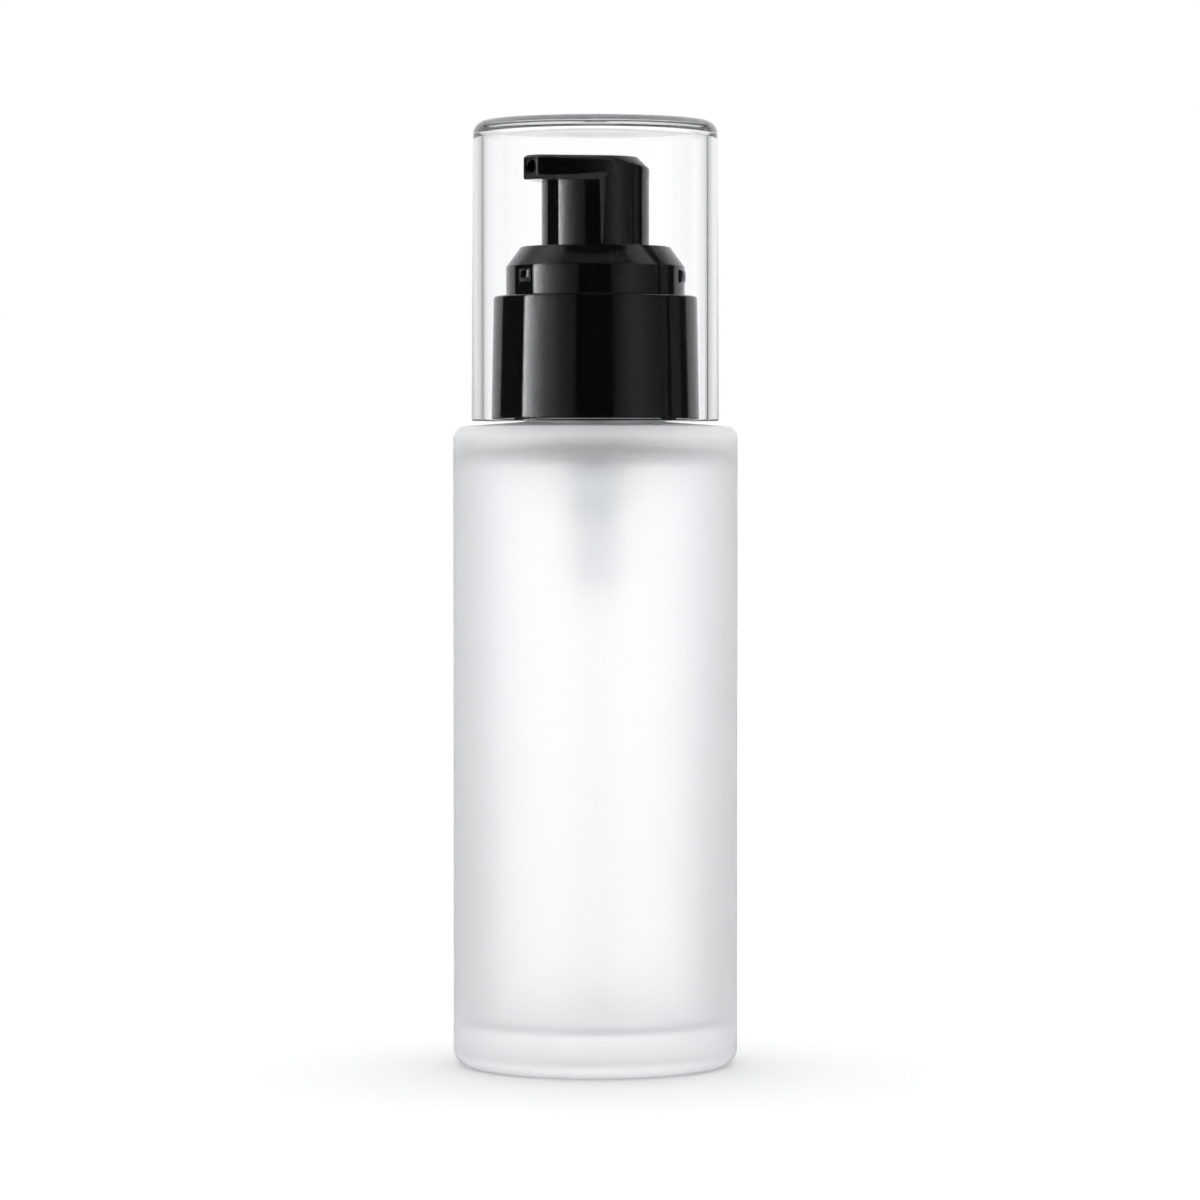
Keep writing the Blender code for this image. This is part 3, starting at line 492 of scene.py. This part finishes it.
    # painted shadow: the lift fades in front of the object, like the soft shadow of a broad light above
    # and behind it
    fromBehind = math.radians(cameraValues["azimuth"])
    lean = math.radians(v["paintedShadowLean"])
    towards = addNode(
        tree,
        "ShaderNodeCombineXYZ",
        {
            "X": -math.sin(fromBehind) * math.sin(lean),
            "Y": math.cos(fromBehind) * math.sin(lean),
            "Z": math.cos(lean),
        },
    )
    paintedShadowFade = addNode(
        tree,
        "ShaderNodeAmbientOcclusion",
        {"Distance": v["shadowReach"] * mm},
        {"Normal": towards.outputs["Vector"]},
    )
    # light that comes through glass finds the lift without the painted shadow
    unshaded = addNode(
        tree,
        "ShaderNodeMath",
        {"operation": "MAXIMUM"},
        {0: paintedShadowFade.outputs["AO"], 1: path.outputs["Is Transmission Ray"]},
    )
    scaled = addNode(
        tree,
        "ShaderNodeMath",
        {"operation": "MULTIPLY", 1: v["floorGlow"]},
        {0: unshaded.outputs["Value"]},
    )
    lift = addNode(
        tree,
        "ShaderNodeMath",
        {"operation": "MULTIPLY"},
        {0: looks.outputs["Value"], 1: scaled.outputs["Value"]},
    )
    glow = addNode(
        tree, "ShaderNodeEmission", {"Color": (1, 1, 1, 1)}, {"Strength": lift.outputs["Value"]}
    )
    both = addNode(
        tree, "ShaderNodeAddShader", {}, {0: matt.outputs["BSDF"], 1: glow.outputs["Emission"]}
    )
    addNode(tree, "ShaderNodeOutputMaterial", {}, {"Surface": both.outputs["Shader"]})
    shape = bmesh.new()
    bmesh.ops.create_circle(shape, cap_ends=True, segments=v["floorSteps"], radius=v["floorRadius"] * mm)
    floor = meshPiece("studioFloor", shape, [floorPaper], collection=studio)


addStudio(studioValues)
scene.view_settings.view_transform = "Standard"
print("studio set")


# Materials

# soda-lime glass, acid-etched outside: milky, with soft blurred light through it and no gloss; at the
# shoulder it lets less light through and shows whiter, painted light that lightens it
frosting = {"lightThrough": 0.97, "lightThroughShoulder": 0.52, "whitenFrom": 78.5, "whitenFull": 82.0}
frostedGlass, tree, shader = newMaterial(
    "acidEtchedGlass",
    {
        "Base Color": hexColour("#FDFEFF"),
        "Roughness": 0.57,
        "IOR": 1.48,
        "Transmission Weight": frosting["lightThrough"],
    },
)
# etch pits are 0.02 mm; coarser here to show
grainBump(tree, shader, 0.12 * mm, 0.002 * mm, roughness=(0.54, 0.6))
coords = addNode(tree, "ShaderNodeTexCoord")
tall = addNode(tree, "ShaderNodeSeparateXYZ", {}, {"Vector": coords.outputs["Object"]})
# painted light: from whitenFrom to whitenFull the shoulder lets less light through and shows whiter
shoulder = addNode(
    tree,
    "ShaderNodeMapRange",
    {
        "From Min": frosting["whitenFrom"] * mm,
        "From Max": frosting["whitenFull"] * mm,
        "To Min": frosting["lightThrough"],
        "To Max": frosting["lightThroughShoulder"],
    },
    {"Value": tall.outputs["Z"]},
)
tree.links.new(shoulder.outputs["Result"], shader.inputs["Transmission Weight"])

# the same glass inside, as blown: smooth and clear, with faint ripples some 6 mm long
blownGlass, tree, shader = newMaterial(
    "blownGlass",
    {"Base Color": hexColour("#FFFFFF"), "Roughness": 0.03, "IOR": 1.52, "Transmission Weight": 1.0},
)
grainBump(tree, shader, 6 * mm, 0.01 * mm, detail=0.0)

# clear styrene-acrylonitrile from a polished mould: bright edges, hardly any tint, faint flow ripples
clearPlastic, tree, shader = newMaterial(
    "clearMouldedPlastic",
    {
        "Base Color": hexColour("#FEFEFF"),
        "Roughness": 0.0,
        "IOR": 1.5,
        "Specular Tint": hexColour("#202020"),
        "Transmission Weight": 1.0,
    },
)
grainBump(tree, shader, 9 * mm, 0.004 * mm, detail=0.0, stretch=(1, 1, 0.4))

# the same plastic under the cap's top, from the unpolished end of the core: clear with a light haze
hazyCeiling, tree, shader = newMaterial(
    "hazyMouldedPlastic",
    {
        "Base Color": hexColour("#FFFFFF"),
        "Roughness": 0.0,
        "IOR": 1.5,
        "Specular Tint": hexColour("#202020"),
        "Transmission Weight": 0.82,
    },
)
grainBump(tree, shader, 9 * mm, 0.004 * mm, detail=0.0)

# black ABS from a polished mould: mirror-like, with a slight ripple that bends long reflections
glossBlack, tree, shader = newMaterial(
    "polishedBlackPlastic",
    {"Base Color": hexColour("#070708"), "Roughness": 0.025, "IOR": 1.5},
)
grainBump(tree, shader, 4 * mm, 0.004 * mm, detail=1.0)

# the same black ABS where the spout was cut: satin, so that it catches a dull grey light
cutBlack, tree, shader = newMaterial(
    "cutBlackPlastic",
    {"Base Color": hexColour("#0B0B0C"), "Roughness": 0.3, "IOR": 1.5},
)
grainBump(tree, shader, 0.2 * mm, 0.002 * mm)

# black polypropylene, as moulded: satin, with the fine matt grain of a spark-eroded tool
mattBlack, tree, shader = newMaterial(
    "mouldedBlackPlastic",
    {"Base Color": hexColour("#0D0D0E"), "Roughness": 0.4, "IOR": 1.49},
)
grainBump(tree, shader, 0.15 * mm, 0.004 * mm)  # real grain is 0.03 mm; coarser here to show

# natural polypropylene: cloudy and see-through, soft shine; its low IOR stands in for light that
# scatters inside it, so that it stays a pale shadow behind the frosting
naturalPlastic, tree, shader = newMaterial(
    "naturalPolypropylene",
    {
        "Base Color": hexColour("#FCFDFE"),
        "Roughness": 0.3,
        "IOR": 1.35,
        "Transmission Weight": 1.0,
    },
)
grainBump(tree, shader, 2.5 * mm, 0.006 * mm, detail=1.0, roughness=(0.26, 0.38))

# low-density polyethylene, extruded: a clear, faintly cloudy tube that hardly shows
tubePlastic, tree, shader = newMaterial(
    "extrudedClearTube",
    {
        "Base Color": hexColour("#FEFEFE"),
        "Roughness": 0.1,
        "IOR": 1.25,
        "Transmission Weight": 1.0,
    },
)
grainBump(tree, shader, 3 * mm, 0.004 * mm, detail=0.0, stretch=(1, 1, 0.2))

# white polyethylene, as moulded: waxy, letting some light through
whitePlastic, tree, shader = newMaterial(
    "whitePolyethylene",
    {"Base Color": hexColour("#F2F2F0"), "Roughness": 0.38, "IOR": 1.51, "Transmission Weight": 0.6},
)
grainBump(tree, shader, 1.5 * mm, 0.004 * mm, detail=1.0, roughness=(0.33, 0.43))

# closed-cell polyethylene foam: dull, with cells about 0.2 mm across
foam, tree, shader = newMaterial(
    "whiteFoam",
    {"Base Color": hexColour("#E4E4E1"), "Roughness": 0.85, "IOR": 1.45},
)
coords = addNode(tree, "ShaderNodeTexCoord")
cells = addNode(
    tree, "ShaderNodeTexVoronoi", {"Scale": 1 / (0.2 * mm)}, {"Vector": coords.outputs["Object"]}
)
bump = addNode(
    tree,
    "ShaderNodeBump",
    {"Strength": 0.8, "Distance": 0.03 * mm},
    {"Height": cells.outputs["Distance"]},
)
tree.links.new(bump.outputs["Normal"], shader.inputs["Normal"])

# stainless steel wire, bright drawn: long fine die lines, sharp highlights
drawnWire, tree, shader = newMaterial(
    "drawnStainlessWire",
    {"Base Color": hexColour("#C9C9CB"), "Metallic": 1.0, "Roughness": 0.24},
)
grainBump(tree, shader, 0.08 * mm, 0.002 * mm, stretch=(0.2, 0.2, 3.0), roughness=(0.18, 0.3))

# soda-lime glass, ground and polished: a small clear ball with a faint green tint
ballGlass, tree, shader = newMaterial(
    "polishedBallGlass",
    {"Base Color": hexColour("#DDEBE4"), "Roughness": 0.03, "IOR": 1.52, "Transmission Weight": 1.0},
)
grainBump(tree, shader, 0.8 * mm, 0.002 * mm, detail=0.0)
print("materials made")


# Glass bottle

bottle = {
    "radius": 18.5,
    "shoulderEdge": 83.1,
    "neckRoot": 83.7,
    "shoulderCorner": 1.6,
    "shoulderStep": 0.05,  # between the slope's end and the rounding, so that no two rings coincide
    "footCorner": 2.1,
    "ringInner": 13.6,
    "ringEdge": 0.3,
    "puntInner": 11.6,
    "puntEdge": 0.8,
    "punt": 0.8,
    "cavityRadius": 15.3,
    "cavityFloor": 5.5,
    "cavityTop": 80.1,
    "cavityCorner": 2.4,
    "floorCorner": 1.3,
    "neckCavityTop": 80.7,
    "neckRadius": 8.7,
    "neckBore": 6.6,
    "neckFillet": 0.7,
    "land": 96.0,
    "landInner": 0.6,  # from the bore to where the outside and inside meet on the land
    "lip": 0.4,
    "rowsBelowLip": 0.4,  # where the close rows that carry the thread start
    "rowsAboveRoot": 0.6,
    "threadLow": 89.1375,
    "threadPitch": 3.175,
    "threadTurns": 1.5,
    "threadDepth": 1.0,
    "threadFoot": 1.0,
    "threadCrest": 0.35,
    "threadRunOut": 0.1,
    "threadRows": 0.2,
    "steps": 192,
    "curveSteps": 10,
}


def buildBottle(v):
    threadTop = v["land"] - v["lip"] - v["rowsBelowLip"]
    threadFoot = v["neckRoot"] + v["neckFillet"] + v["rowsAboveRoot"]
    landInner = v["neckBore"] + v["landInner"]
    count = round((threadTop - threadFoot) / v["threadRows"])
    neckRows = [
        (v["neckRadius"], threadTop + (threadFoot - threadTop) * i / count) for i in range(count + 1)
    ]
    rim = roundCorners(
        [
            (landInner, v["land"]),
            (v["neckRadius"], v["land"], v["lip"]),
            (v["neckRadius"], threadTop),
        ]
    )[:-1]
    body = roundCorners(
        [
            (v["neckRadius"], threadFoot),
            (v["neckRadius"], v["neckRoot"], v["neckFillet"]),
            (v["radius"] - v["shoulderCorner"] - v["shoulderStep"], v["shoulderEdge"]),
            (v["radius"], v["shoulderEdge"], v["shoulderCorner"]),
            (v["radius"], 0, v["footCorner"]),
            (v["ringInner"], 0, v["ringEdge"]),
            (v["puntInner"], v["punt"], v["puntEdge"]),
            (0, v["punt"]),
        ],
        steps=v["curveSteps"],
    )[1:]
    outside = rim + neckRows + body
    inside = roundCorners(
        [
            (0, v["cavityFloor"]),
            (v["cavityRadius"], v["cavityFloor"], v["floorCorner"]),
            (v["cavityRadius"], v["cavityTop"], v["cavityCorner"]),
            (v["neckBore"], v["neckCavityTop"], v["neckFillet"]),
            (v["neckBore"], v["land"], v["lip"]),
            (landInner, v["land"]),
        ],
        steps=v["curveSteps"],
    )[:-1]
    firstRow = len(rim)
    lastRow = len(rim) + len(neckRows)

    def threadBend(radius, angle, height, row):
        if not firstRow <= row < lastRow:
            return radius
        turn = angle / math.tau
        best = 0
        for whole in (0, 1):
            along = turn + whole
            if along > v["threadTurns"]:
                continue
            away = abs(height - (v["threadLow"] + v["threadPitch"] * along))
            rise = min(max((v["threadFoot"] - away) / (v["threadFoot"] - v["threadCrest"]), 0), 1)
            fade = min(along / v["threadRunOut"], (v["threadTurns"] - along) / v["threadRunOut"], 1)
            best = max(best, rise * rise * (3 - 2 * rise) * max(fade, 0))
        return radius + v["threadDepth"] * best

    # the outside ends on the axis under the punt, and the inside starts on it at the cavity's floor
    lastOutside = len(outside) - 2
    shape = lathe(
        outside + inside, v["steps"], True, threadBend, lambda row: 0 if row <= lastOutside else 1
    )
    piece = meshPiece("frostedBottle", shape, [frostedGlass, blownGlass], 50)
    settle(piece, "bottle", "frosted_glass", "glass_bottle")


buildBottle(bottle)
print("bottle built")


# Clear overcap

overcap = {
    "radius": 15.88,
    "rimRadius": 16.10,
    "top": 122.7,
    "ceiling": 121.2,
    "rim": 83.75,
    "outerRounding": 1.7,
    "innerRounding": 0.9,
    "bore": 14.58,
    "boreEdge": 0.15,
    "rimEdge": 0.25,
    "gateRadius": 1.1,
    "gateDepth": 0.22,
    "gateSlope": 0.35,
    "gateFloorEdge": 0.15,
    "gateRimEdge": 0.12,
    "steps": 192,
    "curveSteps": 12,
}


def buildOvercap(v):
    gateFloor = v["top"] - v["gateDepth"]
    profile = roundCorners(
        [
            (0, gateFloor),
            (v["gateRadius"] - v["gateSlope"], gateFloor, v["gateFloorEdge"]),
            (v["gateRadius"], v["top"], v["gateRimEdge"]),
            (v["radius"], v["top"], v["outerRounding"]),
            (v["rimRadius"], v["rim"], v["rimEdge"]),
            (v["bore"], v["rim"], v["boreEdge"]),
            (v["bore"], v["ceiling"], v["innerRounding"]),
            (0, v["ceiling"]),
        ],
        steps=v["curveSteps"],
    )
    # the last row of faces is the flat ceiling, from the inner rounding to the axis
    ceilingRow = len(profile) - 2
    shape = lathe(profile, v["steps"], slotOf=lambda row: 1 if row == ceilingRow else 0)
    piece = meshPiece("clearOvercap", shape, [clearPlastic, hazyCeiling], 60)
    settle(piece, "cap", "clear_plastic", "overcap")


buildOvercap(overcap)
print("overcap built")


# Collar shell over the closure

collar = {
    "topRadius": 13.25,
    "footRadius": 13.55,
    "top": 100.0,
    "foot": 84.17,
    "hole": 5.2,
    "plate": 99.3,
    "bore": 12.3,
    "edge": 0.3,
    "footEdge": 0.15,
    "holeEdge": 0.1,
    "plateEdge": 0.2,
    "lugAngle": -87,
    "lugCount": 4,
    "lugWidth": 1.8,
    "lugDrop": 0.36,
    "lugDepth": 0.9,
    "lugRoot": 0.4,  # how far a lug reaches up into the wall
    "lugBevel": 0.1,
    "steps": 160,
}


def buildCollar(v):
    profile = roundCorners(
        [
            (v["hole"], v["top"], v["holeEdge"]),
            (v["topRadius"], v["top"], v["edge"]),
            (v["footRadius"], v["foot"], v["footEdge"]),
            (v["bore"], v["foot"], v["footEdge"]),
            (v["bore"], v["plate"], v["plateEdge"]),
            (v["hole"], v["plate"], v["holeEdge"]),
        ],
        closed=True,
    )
    piece = meshPiece("glossCollar", lathe(profile, v["steps"], True), [glossBlack])
    # small lugs under the foot
    half, low, high = v["lugWidth"] / 2, v["foot"] - v["lugDrop"], v["foot"] + v["lugRoot"]
    outer, bevel = v["footRadius"] - v["footEdge"], v["lugBevel"]
    rows = [
        (outer - v["lugDepth"], half, low, high),
        (outer - bevel, half, low, high),
        (outer, half - bevel, low + bevel, high),
    ]
    cutOrJoin(piece, blocksRound("collarLug", v["lugAngle"], v["lugCount"], rows))
    settle(piece, "closure", "black_gloss_plastic", "collar_shell")


buildCollar(collar)
print("collar built")


# Shoulder ring with its three snap bumps

ring = {
    "radius": 11.63,
    "topRadius": 9.77,
    "hole": 7.3,
    "foot": 100.03,
    "floorTop": 101.0,
    "bandTop": 103.85,
    "top": 106.4,
    "coreRadius": 10.53,
    "coreTop": 103.3,
    "innerWall": 8.4,
    "plateFoot": 105.2,
    "tubeBore": 5.2,
    "tubeRadius": 5.9,
    "tubeTop": 103.3,
    "edge": 0.12,
    "floorEdge": 0.15,
    "bumpAngle": 269.5,
    "bumpCount": 3,
    "bumpWidth": 2.1,
    "bumpHeight": 1.65,
    "bumpRoot": 0.5,  # how far a bump reaches into the band
    "bumpRim": 0.12,
    "bumpPillow": [(0.14, 0.05), (0.28, 0.28), (0.35, 0.5)],  # proud, in from the side
    "bumpMiddle": 102.5,
    "steps": 160,
}


def buildRing(v):
    profile = roundCorners(
        [
            (v["hole"], v["top"], v["edge"]),
            (v["topRadius"], v["top"], v["edge"]),
            (v["radius"], v["bandTop"], v["edge"]),
            (v["radius"], v["foot"], v["edge"]),
            (v["coreRadius"], v["foot"]),
            (v["coreRadius"], v["coreTop"]),
            (v["innerWall"], v["plateFoot"]),
            (v["innerWall"], v["foot"]),
            (v["tubeBore"], v["foot"]),
            (v["tubeBore"], v["tubeTop"]),
            (v["tubeRadius"], v["tubeTop"]),
            (v["tubeRadius"], v["floorTop"], v["floorEdge"]),
            (v["hole"], v["floorTop"], v["floorEdge"]),
        ],
        closed=True,
    )
    piece = meshPiece("shoulderRing", lathe(profile, v["steps"], True), [glossBlack])
    half, tall, middle = v["bumpWidth"] / 2, v["bumpHeight"] / 2, v["bumpMiddle"]
    rows = [
        (v["radius"] + proud, half, middle - tall, middle + tall)
        for proud in (-v["bumpRoot"], v["bumpRim"])
    ]
    for proud, inset in v["bumpPillow"]:
        high = tall * (1 - inset / half)
        rows.append((v["radius"] + proud, half - inset, middle - high, middle + high))
    cutOrJoin(piece, blocksRound("snapBump", v["bumpAngle"], v["bumpCount"], rows))
    settle(piece, "pump", "black_gloss_plastic", "shoulder_ring")


buildRing(ring)
print("ring built")


# Actuator: a round skirt under a flat spouted head

actuator = {
    "skirtRadius": 7.0,
    "skirtBore": 6.2,
    "skirtFoot": 105.8,
    "skirtFootEdge": 0.15,
    "headFoot": 114.75,
    "headTop": 117.9,
    "headRadius": 7.03,
    "insideTop": 115.45,
    "spoutReach": 11.0,
    "spoutWidth": 2.8,
    "tipRounding": 0.4,
    "edge": 0.22,
    "edgeSteps": 4,
    "soften": 0.12,  # how far each edge of the top's chamfer is rounded along its faces
    "backSink": 0.05,
    "backBlend": 1.0,
    "backChamfer": 1.7,
    "tipChamfer": 0.3,
    "bossRadius": 3.6,
    "bossFoot": 109.0,
    "bossSteps": 64,
    "socketRadius": 2.4,
    "socketFlare": 0.3,
    "socketTop": 113.0,
    "passageRadius": 1.1,
    "outletRadius": 0.75,
    "outletHeight": 116.425,
    "outletFlare": 0.2,
    "cutFacing": 0.95,  # a face on the spout's end points forwards at least this much
    "cutDepth": 0.02,
    "steps": 160,
    "backSteps": 72,
}


def headLoop(v, insetOf, heightOf):
    # one level of the head from above: round back, straight sides, rounded spout corners
    radius, half, reach = v["headRadius"], v["spoutWidth"] / 2, v["spoutReach"]
    tangent = math.atan2(half, reach) + math.acos(radius / math.hypot(half, reach))
    back = math.pi - tangent
    loop = []
    for i in range(v["backSteps"] + 1):
        turn = back * (2 * i / v["backSteps"] - 1)
        away = radius - insetOf(turn)
        loop.append((-away * math.sin(turn), away * math.cos(turn), heightOf(turn)))
    inset, height = insetOf(math.pi), heightOf(math.pi)
    for side in (-1, 1):
        tip = Vector((side * (half - inset), inset - reach))
        tangentPoint = Vector((side * radius * math.sin(back), radius * math.cos(back)))
        sideWay = (tangentPoint - Vector((side * half, -reach))).normalized()
        corner = cornerArc(tip, sideWay, Vector((-side, 0)), v["tipRounding"], v["edgeSteps"])
        loop += [(x, y, height) for x, y in (corner if side < 0 else reversed(corner))]
    return loop


def buildHead(v):
    def chamfer(turn):
        return v["tipChamfer"] + (v["backChamfer"] - v["tipChamfer"]) * (1 + math.cos(turn)) / 2

    loops = []
    steps, soften = v["edgeSteps"], v["soften"]
    for k in range(steps + 1):
        turn = math.pi / 2 * k / steps
        inset = v["edge"] * (1 - math.sin(turn))
        height = v["headFoot"] + v["edge"] * (1 - math.cos(turn))
        # the round back sinks a little way into the skirt, so that no seam shows there
        sink = v["backSink"] * (1 - k / steps)
        backHeight = v["headFoot"] + v["backBlend"] * k / steps
        loops.append(
            headLoop(
                v,
                lambda t, tip=inset, rear=sink: tip if t == math.pi else rear,
                lambda t, tip=height, rear=backHeight: tip if t == math.pi else rear,
            )
        )
    # shares of the softening, along the face before the chamfer's edge and then in from it; the upper
    # edge mirrors the lower one
    shares = [(-1, 0), (-0.35, 0.1), (0.35, 0.6)]
    for along, across in shares:
        loops.append(
            headLoop(
                v,
                lambda t, a=across: a * soften,
                lambda t, a=along: v["headTop"] - chamfer(t) + a * soften,
            )
        )
    for along, across in reversed(shares):
        loops.append(
            headLoop(
                v,
                lambda t, a=along: chamfer(t) - a * soften,
                lambda t, a=across: v["headTop"] - a * soften,
            )
        )
    shape = bmesh.new()
    rows = [[shape.verts.new(Vector(point) * mm) for point in loop] for loop in loops]
    for lower, upper in zip(rows, rows[1:]):
        for i in range(len(lower)):
            j = (i + 1) % len(lower)
            shape.faces.new((lower[i], lower[j], upper[j], upper[i]))
    shape.faces.new(list(reversed(rows[0])))
    shape.faces.new(rows[-1])
    bmesh.ops.recalc_face_normals(shape, faces=shape.faces)
    return meshPiece("buttonHead", shape, [])


def toolPost(profile, steps=48):
    return meshPiece("toolPost", lathe(profile, steps), [])


def buildActuator(v):
    skirt = roundCorners(
        [
            (v["skirtBore"], v["insideTop"]),
            (v["skirtRadius"], v["insideTop"]),
            (v["skirtRadius"], v["skirtFoot"], v["skirtFootEdge"]),
            (v["skirtBore"], v["skirtFoot"], v["skirtFootEdge"]),
        ],
        closed=True,
    )
    piece = meshPiece("spoutedButton", lathe(skirt, v["steps"], True), [glossBlack])
    past = 0.1  # how far a flared tool reaches past the face that it cuts
    bossFoot, insideTop = v["bossFoot"], v["insideTop"]
    boss = toolPost(
        [(0, insideTop), (v["bossRadius"], insideTop), (v["bossRadius"], bossFoot), (0, bossFoot)],
        v["bossSteps"],
    )
    socket = toolPost(
        [
            (0, v["socketTop"]),
            (v["socketRadius"], v["socketTop"]),
            (v["socketRadius"], bossFoot + v["socketFlare"]),
            (v["socketRadius"] + v["socketFlare"] + past, bossFoot - past),
            (0, bossFoot - past),
        ]
    )
    passageTop = v["outletHeight"] + v["outletRadius"]
    passage = toolPost(
        [(0, passageTop), (v["passageRadius"], passageTop), (v["passageRadius"], bossFoot), (0, bossFoot)]
    )
    reach = v["spoutReach"]
    outlet = toolPost(
        [
            (0, reach + past),
            (v["outletRadius"] + v["outletFlare"] + past, reach + past),
            (v["outletRadius"], reach - v["outletFlare"]),
            (v["outletRadius"], 0),
            (0, 0),
        ]
    )
    outlet.rotation_euler.x = math.pi / 2
    outlet.location.z = v["outletHeight"] * mm
    tools = [(buildHead(v), "UNION"), (boss, "UNION")]
    tools += [(socket, "DIFFERENCE"), (passage, "DIFFERENCE"), (outlet, "DIFFERENCE")]
    cutOrJoin(piece, tools)
    piece.data.materials.append(cutBlack)
    for face in piece.data.polygons:
        if face.normal.y < -v["cutFacing"] and face.center.y < (v["cutDepth"] - reach) * mm:
            face.material_index = 1
    settle(piece, "button", "black_gloss_plastic", "actuator")


buildActuator(actuator)
print("actuator built")


# Return spring: round wire, with closed end curls

spring = {
    "meanRadius": 2.6,
    "wire": 0.3,
    "foot": 76.5,
    "length": 12.8,
    "curls": 8,
    "endCurls": 1,
    "endGap": 0.45,
    "stroke": 4.5,
    "stepsPerCurl": 40,
    "sides": 12,
}


def buildSpring(v):
    low = v["foot"] + v["wire"]
    rise = v["length"] - 2 * v["wire"]
    openCurls = v["curls"] - 2 * v["endCurls"]
    endPitch = 2 * v["wire"] + v["endGap"]
    openPitch = (rise - 2 * v["endCurls"] * endPitch) / openCurls
    shape = bmesh.new()
    rings = []
    for i in range(v["curls"] * v["stepsPerCurl"] + 1):
        curl = i / v["stepsPerCurl"]
        opened = min(max(curl - v["endCurls"], 0), openCurls)
        z = low + (curl - opened) * endPitch + opened * openPitch
        angle = math.tau * curl
        out = Vector((math.cos(angle), math.sin(angle), 0))
        up = Vector((0, 0, 1))
        middle = out * v["meanRadius"] + up * z
        ringVerts = []
        for k in range(v["sides"]):
            turn = math.tau * k / v["sides"]
            point = middle + (out * math.cos(turn) + up * math.sin(turn)) * v["wire"]
            ringVerts.append(shape.verts.new(point * mm))
        rings.append(ringVerts)
    for first, second in zip(rings, rings[1:]):
        for k in range(v["sides"]):
            n = (k + 1) % v["sides"]
            shape.faces.new((first[k], first[n], second[n], second[k]))
    shape.faces.new(rings[0])
    shape.faces.new(list(reversed(rings[-1])))
    bmesh.ops.recalc_face_normals(shape, faces=shape.faces)
    piece = meshPiece("coiledSpring", shape, [drawnWire], 50)
    settle(piece, "pump", "spring_steel", "return_spring")
    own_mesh(piece)


buildSpring(spring)
print("spring built")


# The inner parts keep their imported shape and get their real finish

innerFinishes = {
    "neck_gasket": foam,
    "pump_housing": naturalPlastic,
    "stem_guide": whitePlastic,
    "inlet_ball": ballGlass,
    "dip_tube": tubePlastic,
    "screw_closure": mattBlack,
    "stem": naturalPlastic,
    "valve_pin": naturalPlastic,
    "piston": whitePlastic,
}

for node, finish in innerFinishes.items():
    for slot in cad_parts[node].material_slots:
        slot.material = finish
print("inner parts finished")
